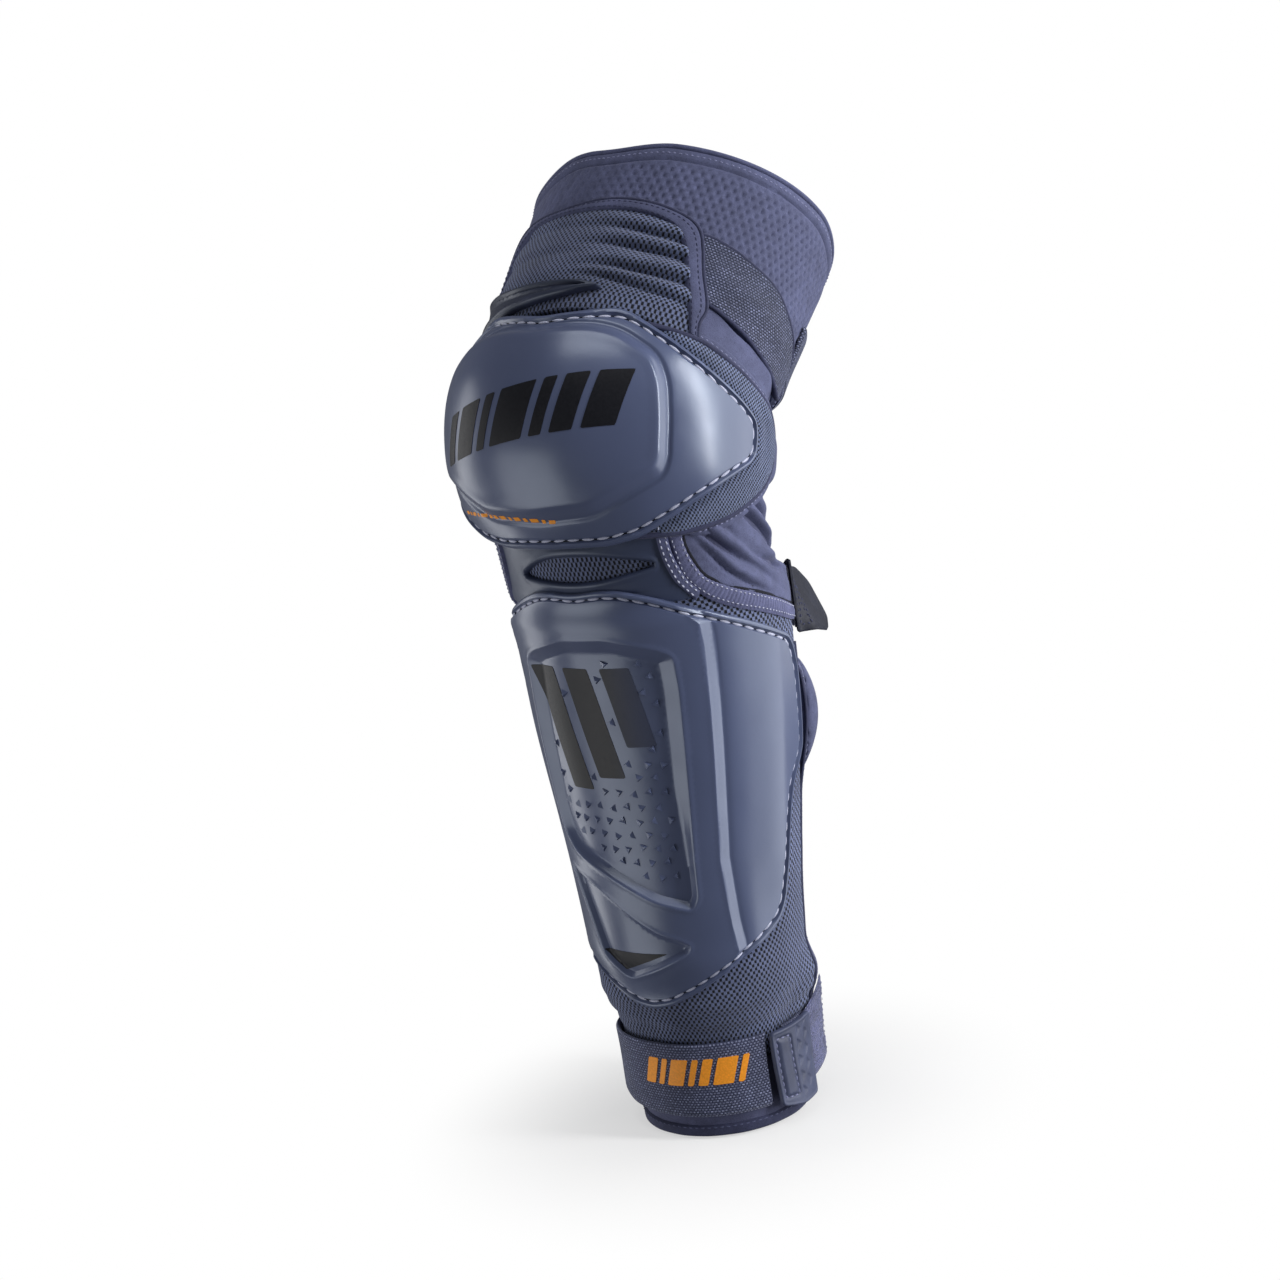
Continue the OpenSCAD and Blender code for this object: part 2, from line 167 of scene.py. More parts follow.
def wave(run, arc, height, lobes=5, more_lobes=9, rate=0.05):
    """Slow hand-made unevenness that closes round the leg."""
    turn = np.radians(arc)
    return height * (np.sin(lobes * turn) * np.cos(run * rate)
                     + 0.6 * np.sin(more_lobes * turn - run * rate * 1.7))


def signed(arc):
    """Angle brought to -180..180."""
    return (np.asarray(arc, float) + 180) % 360 - 180


def from_front(arc):
    return np.abs(signed(arc))


# ---------------------------------------------------------------------------
# Lines in the flat
# ---------------------------------------------------------------------------
def travel(line):
    """Distance along a line at each of its points."""
    return np.r_[0, np.cumsum(np.linalg.norm(np.diff(line, axis=0), axis=1))]


def read_line(places, known, line):
    return np.stack([np.interp(places, known, column) for column in line.T], -1)


def resample(line, step, closed):
    if closed:
        line = np.vstack([line, line[:1]])
    length = travel(line)
    count = max(3, int(round(length[-1] / step)))
    even = read_line(np.linspace(0, length[-1], count + 1), length, line)
    return even[:-1] if closed else even


def respace(line, count):
    """The line read at count places, even in point number."""
    return read_line(np.linspace(0, 1, count), np.linspace(0, 1, len(line)), line)


def tangents(line, closed):
    if closed:
        along = np.roll(line, -1, 0) - np.roll(line, 1, 0)
    else:
        along = np.gradient(line, axis=0)
    return along / np.maximum(np.linalg.norm(along, axis=1, keepdims=True), 1e-9)


def left_normals(line, closed):
    along = tangents(line, closed)
    return np.stack([-along[:, 1], along[:, 0]], -1)


def line_distance(points, outline):
    """Distance of points to a closed outline."""
    edge = np.roll(outline, -1, axis=0) - outline
    square = np.maximum((edge * edge).sum(1), 1e-12)
    distance = np.empty(len(points))
    for i in range(0, len(points), 1500):
        offset = points[i:i + 1500, None, :] - outline
        share = np.clip((offset * edge).sum(2) / square, 0, 1)
        gap = offset - share[..., None] * edge
        distance[i:i + 1500] = np.sqrt((gap ** 2).sum(2).min(1))
    return distance


def inside(points, outline):
    x0, y0 = outline.T
    x1, y1 = np.roll(outline, -1, axis=0).T
    found = np.zeros(len(points), bool)
    for i in range(0, len(points), 1500):
        x, y = points[i:i + 1500, :1], points[i:i + 1500, 1:]
        spans = (y0 > y) != (y1 > y)
        with np.errstate(divide="ignore", invalid="ignore"):
            crossing = (x1 - x0) * (y - y0) / (y1 - y0) + x0
        found[i:i + 1500] = ((x < crossing) & spans).sum(1) % 2 == 1
    return found


def offset_line(line, distance, closed=True):
    """The line moved to its left; for a closed line that is always inwards."""
    side = 1
    if closed:
        x, y = line.T
        side = 1 if np.sum(x * np.roll(y, -1) - np.roll(x, -1) * y) > 0 else -1
    moved = line + left_normals(line, closed) * side * distance
    if closed and distance > 0:
        return moved[line_distance(moved, line) > distance * 0.93]
    return moved


def cut_corners(corners, radii, steps):
    """Polygon with each corner turned into a curve of steps points."""
    line = []
    for i, corner in enumerate(corners):
        arms = corners[i - 1] - corner, corners[(i + 1) % len(corners)] - corner
        lengths = [np.linalg.norm(arm) for arm in arms]
        reach = min(radii[i], *(length * 0.45 for length in lengths))
        start, end = (corner + arm / length * reach for arm, length in zip(arms, lengths))
        for u in np.linspace(0, 1, steps):
            line.append((1 - u) ** 2 * start + 2 * u * (1 - u) * corner + u * u * end)
    return np.array(line)


def mirror_outline(right):
    """Closed outline from its right half, listed from the bottom middle up."""
    return list(right) + [(run, -arc) for run, arc in right[::-1] if abs(arc) > 0.01]


def on_side(table, side):
    """(run, arc) table put on the outer (1) or inner (-1) side."""
    return [(run, arc * side) for run, arc in table]


def lerp(time, start, end, first, last):
    return (end - time) / (end - start) * first + (time - start) / (end - start) * last


class Plane:
    """Flat design plane of a piece: x = angle * radius, y = run * stretch, in mm."""

    def __init__(self, radius, stretch=1.0):
        self.radius = radius
        self.stretch = stretch

    def flatten(self, run, arc):
        return np.stack([np.radians(arc) * self.radius, run * self.stretch], -1)

    def unroll(self, points):
        return points[..., 1] / self.stretch, np.degrees(points[..., 0] / self.radius)

    def polygon(self, table, step, corner):
        """Closed polygon through (run, arc) corners, the corners cut round."""
        corners = self.flatten(*np.array(table, float).T)
        return resample(cut_corners(corners, [corner] * len(corners), 6), step, True)

    def smooth(self, table, step, closed=True):
        """Centripetal Catmull-Rom line through (run, arc) points."""
        knots = self.flatten(*np.array(table, float).T)
        if closed:
            padded = np.vstack([knots[-1:], knots, knots[:2]])
        else:
            before = knots[0] - (knots[1] - knots[0])
            after = knots[-1] + (knots[-1] - knots[-2])
            padded = np.vstack([before, knots, after])
        line = []
        for i in range(len(padded) - 3):
            four = padded[i:i + 4]
            gaps = [max(np.linalg.norm(four[j + 1] - four[j]), 1e-6) for j in range(3)]
            times = np.r_[0, np.cumsum([gap ** 0.5 for gap in gaps])]
            count = max(2, int(np.linalg.norm(four[2] - four[1]) / step * 2))
            for time in np.linspace(times[1], times[2], count, endpoint=False):
                three = [lerp(time, times[j], times[j + 1], four[j], four[j + 1])
                         for j in range(3)]
                two = [lerp(time, times[j], times[j + 2], three[j], three[j + 1])
                       for j in range(2)]
                line.append(lerp(time, times[1], times[2], *two))
        if not closed:
            line.append(knots[-1])
        return resample(np.array(line), step, closed)

    def depth(self, run, arc, outline):
        """Distance to a closed outline, positive inside it."""
        points = self.flatten(*np.broadcast_arrays(run, arc))
        listed = points.reshape(-1, 2)
        distance = line_distance(listed, outline)
        distance[~inside(listed, outline)] *= -1
        return distance.reshape(points.shape[:-1])

    def path(self, line, rise, closed=True):
        run, arc = self.unroll(line)
        return leg_path(run, arc, value_at(rise, run, arc), closed)


# ---------------------------------------------------------------------------
# Materials
# ---------------------------------------------------------------------------
class Shader:
    """A node material and short calls that add nodes to it. Texture space is in mm."""

    def __init__(self, name):
        self.material = bpy.data.materials.new(name)
        self.material.use_nodes = True
        self.tree = self.material.node_tree
        self.surface = self.tree.nodes["Principled BSDF"]

    def new(self, kind, **settings):
        node = self.tree.nodes.new(kind)
        for name, value in settings.items():
            setattr(node, name, value)
        return node

    def set(self, socket, value):
        """Links a socket to socket, or sets a value; a 3-part colour gets its alpha."""
        if isinstance(value, bpy.types.NodeSocket):
            self.tree.links.new(value, socket)
            return
        if isinstance(value, tuple) and len(value) == 3 and len(socket.default_value) == 4:
            value = (*value, 1)
        socket.default_value = value

    def math(self, operation, first, second=0.0):
        node = self.new("ShaderNodeMath", operation=operation)
        self.set(node.inputs[0], first)
        self.set(node.inputs[1], second)
        return node.outputs[0]

    def times(self, first, second):
        return self.math("MULTIPLY", first, second)

    def plus(self, first, second):
        return self.math("ADD", first, second)

    def uv(self):
        """UV vector, u and v."""
        node = self.new("ShaderNodeUVMap", uv_map="UVMap")
        split = self.new("ShaderNodeSeparateXYZ")
        self.set(split.inputs[0], node.outputs[0])
        return node.outputs[0], split.outputs[0], split.outputs[1]

    def place(self):
        """Object coordinates in mm."""
        node = self.new("ShaderNodeTexCoord")
        return self.scaled(node.outputs["Object"], 1000.0)

    def pointiness(self):
        return self.new("ShaderNodeNewGeometry").outputs["Pointiness"]

    def noise(self, vector, scale, detail=3.0, rough=0.5):
        node = self.new("ShaderNodeTexNoise")
        self.set(node.inputs["Vector"], vector)
        node.inputs["Scale"].default_value = scale
        node.inputs["Detail"].default_value = detail
        node.inputs["Roughness"].default_value = rough
        return node.outputs["Fac"]

    def cells(self, vector, scale):
        node = self.new("ShaderNodeTexVoronoi")
        self.set(node.inputs["Vector"], vector)
        node.inputs["Scale"].default_value = scale
        return node.outputs["Distance"]

    def ramp(self, factor, span, to=(0.0, 1.0)):
        """Smooth map of factor from span to another range."""
        node = self.new("ShaderNodeMapRange", interpolation_type="SMOOTHSTEP")
        self.set(node.inputs[0], factor)
        for i, value in enumerate((*span, *to), 1):
            node.inputs[i].default_value = value
        return node.outputs[0]

    def mix(self, factor, first, second):
        node = self.new("ShaderNodeMix", data_type="RGBA")
        self.set(node.inputs[0], factor)
        self.set(node.inputs[6], first)
        self.set(node.inputs[7], second)
        return node.outputs[2]

    def mix_shader(self, factor, first, second):
        node = self.new("ShaderNodeMixShader")
        for socket, value in zip(node.inputs, (factor, first, second)):
            self.set(socket, value)
        return node.outputs[0]

    def scaled(self, vector, factor):
        node = self.new("ShaderNodeVectorMath", operation="SCALE")
        self.set(node.inputs[0], vector)
        self.set(node.inputs["Scale"], factor)
        return node.outputs[0]

    def bump(self, height, depth, strength, normal=None):
        """Bump map of a depth in mm, over another normal if one is given."""
        node = self.new("ShaderNodeBump")
        self.set(node.inputs["Height"], height)
        node.inputs["Distance"].default_value = depth / 1000.0
        node.inputs["Strength"].default_value = strength
        if normal is not None:
            self.set(node.inputs["Normal"], normal)
        return node.outputs[0]

    def worn(self, base, bare, edge, scale, patches, amount):
        """Shows the bare colour in patches along the sharp edges."""
        wear = self.times(self.ramp(self.pointiness(), span=edge),
                          self.ramp(self.noise(self.place(), scale, detail=4.0), span=patches))
        return self.mix(self.times(wear, amount), base, bare)

    def finish(self, colour, rough, normal=None, **inputs):
        """Sets the surface; an underscore in an input name stands for a space."""
        self.set(self.surface.inputs["Base Color"], colour)
        self.set(self.surface.inputs["Roughness"], rough)
        if normal is not None:
            self.set(self.surface.inputs["Normal"], normal)
        for name, value in inputs.items():
            self.set(self.surface.inputs[name.replace("_", " ")], value)
        return self.material


def srgb(*levels):
    """Linear colour from 8-bit sRGB levels."""
    shares = [level / 255 for level in levels]
    return tuple(c / 12.92 if c <= 0.04045 else ((c + 0.055) / 1.055) ** 2.4 for c in shares)


def tint(colour, factor, lift=0.0):
    return tuple(min(1, c * factor + lift) for c in colour)


def shell_material(name, colour, rough, coat):
    """Semi-gloss moulded plastic: fine orange peel, scuffs, worn edges."""
    mat = Shader(name)
    place = mat.place()
    drift = mat.noise(place, scale=0.012)
    fine = mat.noise(place, scale=1.1, detail=2.0)
    peel = mat.noise(place, scale=0.28, detail=2.0)
    base = mat.mix(mat.ramp(drift, span=(0.35, 0.65)), colour, tint(colour, 1.16))
    base = mat.worn(base, tint(colour, 2.1), edge=(0.515, 0.56), scale=0.12,
                    patches=(0.45, 0.7), amount=0.45)
    # long faint scuffs: noise stretched along one slanted direction
    stretch = mat.new("ShaderNodeMapping")
    mat.set(stretch.inputs["Vector"], place)
    stretch.inputs["Rotation"].default_value = (0.3, 0.5, 0.9)
    stretch.inputs["Scale"].default_value = (0.02, 0.9, 0.35)
    scuff = mat.ramp(mat.noise(stretch.outputs[0], scale=0.6, detail=5.0, rough=0.6),
                     span=(0.69, 0.76))
    base = mat.mix(mat.times(scuff, 0.16), base, tint(colour, 0.55))
    gloss = mat.plus(mat.ramp(mat.noise(place, scale=0.05, detail=4.0), span=(0.3, 0.7),
                              to=(rough - 0.035, rough + 0.05)), mat.times(scuff, 0.08))
    normal = mat.bump(peel, depth=0.10, strength=0.35)
    normal = mat.bump(fine, depth=0.02, strength=0.5, normal=normal)
    return mat.finish(base, gloss, normal, Coat_Weight=coat, Coat_Roughness=0.22,
                      Specular_IOR_Level=0.62, Specular_Tint=(0.76, 0.86, 1.0, 1))


def mesh_material(name, thread, hole, pitch=(2.7, 3.2)):
    """Open spacer mesh: staggered diamond holes in a knitted face. The holes are painted near-black
    as shade, and the raised knit crests are painted lighter as highlight.
    """
    mat = Shader(name)
    vector, u, v = mat.uv()
    wobble = mat.noise(vector, scale=0.09, detail=2.0)
    wobble = mat.times(mat.math("SUBTRACT", wobble, 0.5), 1.4)
    waves = [mat.math("COSINE", mat.times(mat.plus(axis, wobble), 2 * math.pi / size))
             for axis, size in zip((u, v), pitch)]
    weave = mat.times(*waves)
    holes = mat.ramp(weave, span=(0.06, 0.3))
    rim = mat.ramp(weave, span=(-0.45, 0.05))
    knit = mat.noise(vector, scale=2.2, detail=2.0, rough=0.6)
    # painted highlight: the raised crests of the knit are lightened to 1.7 times the thread colour,
    # which fades back to the thread colour at the hole rims
    colour = mat.scaled(mat.mix(rim, tint(thread, 1.7), thread),
                        mat.ramp(knit, span=(0.3, 0.7), to=(0.75, 1.3)))
    colour = mat.scaled(colour, mat.ramp(mat.noise(vector, scale=0.03, detail=2.0),
                                         span=(0.3, 0.7), to=(0.85, 1.15)))
    # painted shade: the holes take the near-black hole colour in place of the shade inside them
    colour = mat.mix(holes, colour, hole)
    height = mat.math("SUBTRACT", mat.times(knit, 0.25), mat.ramp(weave, span=(-0.1, 0.5)))
    normal = mat.bump(height, depth=0.75, strength=0.9)
    return mat.finish(colour, mat.ramp(holes, span=(0, 1), to=(0.72, 0.95)), normal,
                      Sheen_Weight=0.25, Sheen_Roughness=0.5, Sheen_Tint=(0.75, 0.78, 1.0),
                      Specular_IOR_Level=0.3)


def jersey_material(name, colour, sheen):
    """Stretch jersey: a fine knit with soft colour drift, and painted shade in the gaps of the knit.
    """
    mat = Shader(name)
    place = mat.place()
    knit = mat.cells(place, scale=1.25)
    fuzz = mat.noise(place, scale=2.4, rough=0.65)
    drift = mat.noise(place, scale=0.02)
    spots = mat.noise(place, scale=0.16, rough=0.6)
    base = mat.mix(mat.ramp(drift, span=(0.35, 0.65)), tint(colour, 0.9), tint(colour, 1.12))
    base = mat.scaled(base, mat.ramp(spots, span=(0.3, 0.72), to=(0.9, 1.12)))
    base = mat.scaled(base, mat.ramp(fuzz, span=(0.25, 0.75), to=(0.8, 1.22)))
    # painted shade: the gaps between the knit cells, which the bump sinks, are darkened towards half
    # the colour
    base = mat.mix(mat.ramp(knit, span=(0.62, 0.95), to=(0.0, 0.45)), base, tint(colour, 0.5))
    height = mat.plus(mat.times(knit, -0.6), mat.times(fuzz, 0.6))
    normal = mat.bump(height, depth=0.22, strength=0.6)
    normal = mat.bump(spots, depth=0.5, strength=0.18, normal=normal)
    return mat.finish(base, 0.82, normal, Sheen_Weight=sheen, Sheen_Roughness=0.35,
                      Sheen_Tint=(0.78, 0.8, 1.0), Specular_IOR_Level=0.25)


def elastic_material(name, dark, light, rib=1.35, pitch=1.9):
    """Woven elastic: ribs across the band with light flecks of yarn."""
    mat = Shader(name)
    vector, u, v = mat.uv()
    row = mat.math("FLOOR", mat.math("DIVIDE", v, rib))
    stagger = mat.times(mat.math("MODULO", row, 2.0), pitch / 2)
    across = mat.math("FRACT", mat.math("DIVIDE", v, rib))
    along = mat.math("FRACT", mat.math("DIVIDE", mat.plus(u, stagger), pitch))
    ribs = mat.math("SINE", mat.times(across, math.pi))
    dashes = mat.math("SINE", mat.times(along, math.pi))
    yarn = mat.times(mat.ramp(ribs, span=(0.3, 0.9)), mat.ramp(dashes, span=(0.35, 0.8)))
    flecks = mat.noise(vector, scale=0.85, detail=2.0, rough=0.7)
    amount = mat.times(yarn, mat.ramp(flecks, span=(0.42, 0.66), to=(0.18, 1.0)))
    drift = mat.ramp(mat.noise(vector, scale=0.05, detail=2.0), span=(0.3, 0.7),
                     to=(0.85, 1.15))
    colour = mat.scaled(mat.mix(amount, dark, light), drift)
    height = mat.plus(mat.times(ribs, 0.6), mat.times(yarn, 0.5))
    return mat.finish(colour, 0.72, mat.bump(height, depth=0.38, strength=0.9),
                      Sheen_Weight=0.3, Sheen_Roughness=0.4, Sheen_Tint=(0.8, 0.82, 1.0),
                      Specular_IOR_Level=0.3)


def rubber_material(name, colour, rough):
    """Grained rubber with patchy worn edges."""
    mat = Shader(name)
    place = mat.place()
    grain = mat.noise(place, scale=1.8, rough=0.6)
    drift = mat.noise(place, scale=0.06)
    base = mat.mix(mat.ramp(drift, span=(0.35, 0.65)), tint(colour, 0.85), tint(colour, 1.2))
    base = mat.worn(base, tint(colour, 2.2), edge=(0.52, 0.6), scale=0.3,
                    patches=(0.4, 0.7), amount=0.35)
    normal = mat.bump(grain, depth=0.09, strength=0.55)
    gloss = mat.ramp(grain, span=(0.3, 0.7), to=(rough - 0.06, rough + 0.08))
    return mat.finish(base, gloss, normal, Specular_IOR_Level=0.34)


def thread_material(name, colour):
    mat = Shader(name)
    twist = mat.noise(mat.place(), scale=3.2, detail=2.0, rough=0.6)
    base = mat.mix(mat.ramp(twist, span=(0.35, 0.65)), tint(colour, 0.62), colour)
    return mat.finish(base, 0.55, mat.bump(twist, depth=0.12, strength=0.8), Sheen_Weight=0.3)


def nap_material(name, colour):
    """Brushed loop pile, with painted shade between the loops."""
    mat = Shader(name)
    place = mat.place()
    loops = mat.cells(place, scale=0.9)
    fuzz = mat.noise(place, scale=1.6, detail=4.0, rough=0.7)
    brushed = mat.noise(place, scale=0.11, rough=0.6)
    # painted shade: the sunk ground between the loops is darkened towards 0.45 of the colour
    base = mat.scaled(mat.mix(mat.ramp(loops, span=(0.2, 0.8)), colour, tint(colour, 0.45)),
                      mat.ramp(brushed, span=(0.3, 0.7), to=(0.75, 1.3)))
    height = mat.math("SUBTRACT", fuzz, mat.times(loops, 0.8))
    return mat.finish(base, 0.9, mat.bump(height, depth=0.6, strength=0.9), Sheen_Weight=0.7,
                      Sheen_Roughness=0.35, Sheen_Tint=(0.8, 0.82, 1))


def ink_material(name, colour, rough, fade=None, faded=None):
    """Printed ink; fade is the span of u (mm) over which it turns to the faded colour."""
    mat = Shader(name)
    grain = mat.noise(mat.place(), scale=0.9, rough=0.6)
    base = mat.mix(mat.ramp(grain, span=(0.3, 0.7)), colour, tint(colour, 1.25, lift=0.002))
    if fade:
        base = mat.mix(mat.ramp(mat.uv()[1], span=fade), base, faded)
    gloss = mat.ramp(grain, span=(0.3, 0.7), to=(rough - 0.04, rough + 0.06))
    return mat.finish(base, gloss, mat.bump(grain, depth=0.05, strength=0.4),
                      Specular_IOR_Level=0.28)


MATERIALS = {
    "shell": shell_material("shell_slate", srgb(73, 81, 109), rough=0.31, coat=0.28),
    "tpu": shell_material("soft_moulding", srgb(48, 55, 78), rough=0.42, coat=0.1),
    "fin": shell_material("dark_moulding", srgb(36, 40, 58), rough=0.42, coat=0.1),
    # the second colour of each mesh is the painted shade inside its holes
    "mesh": mesh_material("spacer_mesh", srgb(72, 80, 106), srgb(12, 14, 22)),
    "mesh_sleeve": mesh_material("spacer_mesh_sleeve", srgb(74, 82, 109), srgb(12, 14, 22),
                                 pitch=(3.3, 3.9)),
    "mesh_knee": mesh_material("spacer_mesh_knee", srgb(76, 85, 111), srgb(20, 24, 37),
                               pitch=(2.3, 2.9)),
    "jersey": jersey_material("jersey_lavender", srgb(78, 82, 111), sheen=0.18),
    "jersey_dark": jersey_material("jersey_dark", srgb(74, 77, 104), sheen=0.2),
    "binding": jersey_material("binding_tape", srgb(52, 55, 80), sheen=0.15),
    # near-black seam cord colour: painted shade in seams and sewing channels
    "seam": jersey_material("seam_shadow", srgb(16, 18, 30), sheen=0.0),
    "band": jersey_material("sleeve_band", srgb(84, 87, 118), sheen=0.2),
    "tape": jersey_material("edge_tape", srgb(78, 82, 112), sheen=0.2),
    "elastic": elastic_material("woven_elastic", srgb(34, 39, 60), srgb(128, 134, 168)),
    "elastic_dark": elastic_material("woven_elastic_fine", srgb(48, 53, 78),
                                     srgb(150, 156, 190), rib=1.45, pitch=2.0),
    # near-black: the shade on a tab's side turned away from the light is painted into this colour
    "rubber": rubber_material("tab_rubber", srgb(28, 31, 44), rough=0.62),
    "rubber_grey": rubber_material("tab_rubber_grey", srgb(60, 66, 90), rough=0.46),
    "lining": jersey_material("lining_jersey", srgb(52, 54, 74), sheen=0.15),
    "foam": jersey_material("foam_facing", srgb(58, 62, 86), sheen=0.15),
    "thread": thread_material("thread_pale", srgb(196, 200, 224)),
    "thread_dark": thread_material("thread_slate", srgb(122, 126, 166)),
    "nap": nap_material("loop_pile", srgb(98, 102, 140)),
    "hook": nap_material("hook_tape", srgb(40, 43, 60)),
    "silicone": rubber_material("grip_silicone", srgb(90, 94, 124), rough=0.35),
    "ink_black": ink_material("ink_black", srgb(14, 15, 22), rough=0.42),
    "ink_orange": ink_material("ink_orange", srgb(232, 146, 40), rough=0.5),
    "ink_shin": ink_material("ink_shin", srgb(13, 14, 21), rough=0.42, fade=(0.0, 24.0),
                             faded=srgb(58, 64, 86)),
}


# ---------------------------------------------------------------------------
# Mesh building
# ---------------------------------------------------------------------------
def mesh_from(name, material, points, faces, uv=None, smooth=True, sharp=48):
    """Object with one material (a key of MATERIALS, or None) and one UV per vertex."""
    mesh = bpy.data.meshes.new(name)
    mesh.from_pydata(np.asarray(points).tolist(), [], faces)
    if uv is not None:
        layer = mesh.uv_layers.new(name="UVMap")
        corners = loop_vertices(mesh)
        layer.data.foreach_set("uv", np.asarray(uv, np.float32)[corners].ravel())
    if smooth:
        mesh.polygons.foreach_set("use_smooth", np.ones(len(mesh.polygons), bool))
        mesh.set_sharp_from_angle(angle=math.radians(sharp))
    mesh.validate()
    mesh.update()
    ob = bpy.data.objects.new(name, mesh)
    COLLECTION.objects.link(ob)
    if material:
        mesh.materials.append(MATERIALS[material])
    return ob


def loop_vertices(mesh):
    index = np.zeros(len(mesh.loops), np.int32)
    mesh.loops.foreach_get("vertex_index", index)
    return index


def coordinates(mesh):
    flat = np.zeros(len(mesh.vertices) * 3)
    mesh.vertices.foreach_get("co", flat)
    return flat.reshape(-1, 3)


def merge(name, material, parts):
    """One object out of several."""
    points, faces, uvs, start = [], [], [], 0
    for part in parts:
        mesh = part.data
        points.append(coordinates(mesh))
        faces += [tuple(start + v for v in face.vertices) for face in mesh.polygons]
        uv = np.zeros((len(mesh.vertices), 2))
        loop_uv = np.zeros(len(mesh.loops) * 2)
        mesh.uv_layers[0].data.foreach_get("uv", loop_uv)
        uv[loop_vertices(mesh)] = loop_uv.reshape(-1, 2)
        uvs.append(uv)
        start += len(mesh.vertices)
    for part in parts:
        mesh = part.data
        bpy.data.objects.remove(part)
        bpy.data.meshes.remove(mesh)
    return mesh_from(name, material, np.vstack(points), faces, np.vstack(uvs))


class PointGrid:
    """Stored flat points, sorted into square cells to find near ones fast."""

    def __init__(self, cell, points):
        self.cell = cell
        self.bins = {}
        self.add(points)

    def add(self, points):
        for x, y in points:
            self.bins.setdefault((int(x // self.cell), int(y // self.cell)), []).append((x, y))

    def is_clear(self, x, y, radius):
        """True when no stored point lies within radius, which is at most one cell."""
        column, row = int(x // self.cell), int(y // self.cell)
        return not any((x1 - x) ** 2 + (y1 - y) ** 2 < radius ** 2
                       for i in (-1, 0, 1) for j in (-1, 0, 1)
                       for x1, y1 in self.bins.get((column + i, row + j), ()))


def triangulate(points, edges, covers):
    """Points, counter-clockwise triangles whose centres are covered, doubled areas."""
    vectors = [Vector(place) for place in np.array(points).tolist()]
    placed, _, faces, _, _, _ = delaunay_2d_cdt(vectors, edges, [], 1, 1e-4, False)
    placed = np.array([tuple(place) for place in placed])
    triangles = np.array([face for face in faces if len(face) == 3], int)
    triangles = triangles[covers(placed[triangles].mean(1))]
    corner, second, third = placed[triangles].transpose(1, 0, 2)
    second, third = second - corner, third - corner
    area = second[:, 0] * third[:, 1] - second[:, 1] * third[:, 0]
    triangles[area < 0] = triangles[area < 0][:, ::-1]
    return placed, triangles, np.abs(area)


def two_sided(triangles, count):
    """Faces of a sheet, of its copy count vertices later, and of the rim between."""
    faces = [tuple(face) for face in triangles.tolist()]
    edges = [(face[i], face[(i + 1) % 3]) for face in faces for i in range(3)]
    known = set(edges)
    faces += [tuple(v + count for v in face[::-1]) for face in faces]
    faces += [(b, a, a + count, b + count) for a, b in edges if (b, a) not in known]
    return faces


def patch(name, material, plane, outline, top, bottom, gap=1.6,
          rings=(0.5, 1.1, 1.9, 3.0), lines=(), holes=()):
    """Closed sheet with an outline in the design plane.

    top and bottom are rises, fields of (run, arc, inset from the rim). Rows of vertices
    follow the outline at each of rings, and each (line, closed, offsets) of lines.
    """
    loops = (outline, *holes)

    def rim_distance(places):
        return np.min([line_distance(places, loop) for loop in loops], axis=0)

    def covers(places):
        # inside the outline alone, as every hole lies within it
        return np.sum([inside(places, loop) for loop in loops], axis=0) == 1

    def valid(places, margin):
        return covers(places) & (rim_distance(places) > margin)

    points, edges = [], []
    for loop in loops:
        start, count = len(points), len(loop)
        edges += [(start + i, start + (i + 1) % count) for i in range(count)]
        points += [tuple(place) for place in loop]
    near = PointGrid(gap * 0.42, points)

    # feature lines keep every point and are held as edges of the mesh
    chains = [(offset_line(outline, inset), True) for inset in rings]
    chains += [(offset_line(line, offset, closed), closed)
               for line, closed, offsets in lines for offset in offsets]
    for line, closed in chains:
        index = -np.ones(len(line), int)
        for i in np.where(valid(line, 0.22))[0]:
            if near.is_clear(*line[i], 0.22):
                index[i] = len(points)
                points.append(tuple(line[i]))
        near.add(line[index >= 0])
        for i in range(len(line) if closed else len(line) - 1):
            j = (i + 1) % len(line)
            if index[i] >= 0 and index[j] >= 0 and np.hypot(*(line[i] - line[j])) < 2.6:
                edges.append((int(index[i]), int(index[j])))

    # a triangular grid fills what is left
    low, high = outline.min(0), outline.max(0)
    filling = []
    for i, y in enumerate(np.arange(low[1], high[1], gap * 0.866)):
        x = np.arange(low[0] + (i % 2) * gap / 2, high[0], gap)
        filling.append(np.stack([x, np.full(len(x), y)], -1))
    filling = np.vstack(filling)
    points += [tuple(place) for place in filling[valid(filling, gap * 0.4)]
               if near.is_clear(*place, gap * 0.42)]

    placed, triangles, area = triangulate(points, edges, covers)
    triangles = triangles[area > 1e-7]
    used, triangles = np.unique(triangles, return_inverse=True)
    triangles = triangles.reshape(-1, 3)
    placed = placed[used]
    run, arc = plane.unroll(placed)
    inset = rim_distance(placed)
    faces_at = [point(run, arc, value_at(side, run, arc, inset)) for side in (top, bottom)]
    return mesh_from(name, material, np.vstack(faces_at), two_sided(triangles, len(placed)),
                     np.vstack([placed, placed]))


def grid_faces(rows, columns, ring):
    """Faces of two grids of vertices, back to back, and of the rim between them."""
    count = rows * columns
    steps = columns if ring else columns - 1
    faces = []

    def wall(a, b):
        faces.append((b, a, a + count, b + count))

    for j in range(rows - 1):
        for i in range(steps):
            a, b = j * columns + i, j * columns + (i + 1) % columns
            faces.append((a, b, b + columns, a + columns))
            faces.append((a + count, a + columns + count, b + columns + count, b + count))
    last = (rows - 1) * columns
    for i in range(steps):
        j = (i + 1) % columns
        wall(i, j)
        wall(last + j, last + i)
    if not ring:
        for a in range(0, last, columns):
            b = a + columns - 1
            wall(a + columns, a)
            wall(b, b + columns)
    return faces


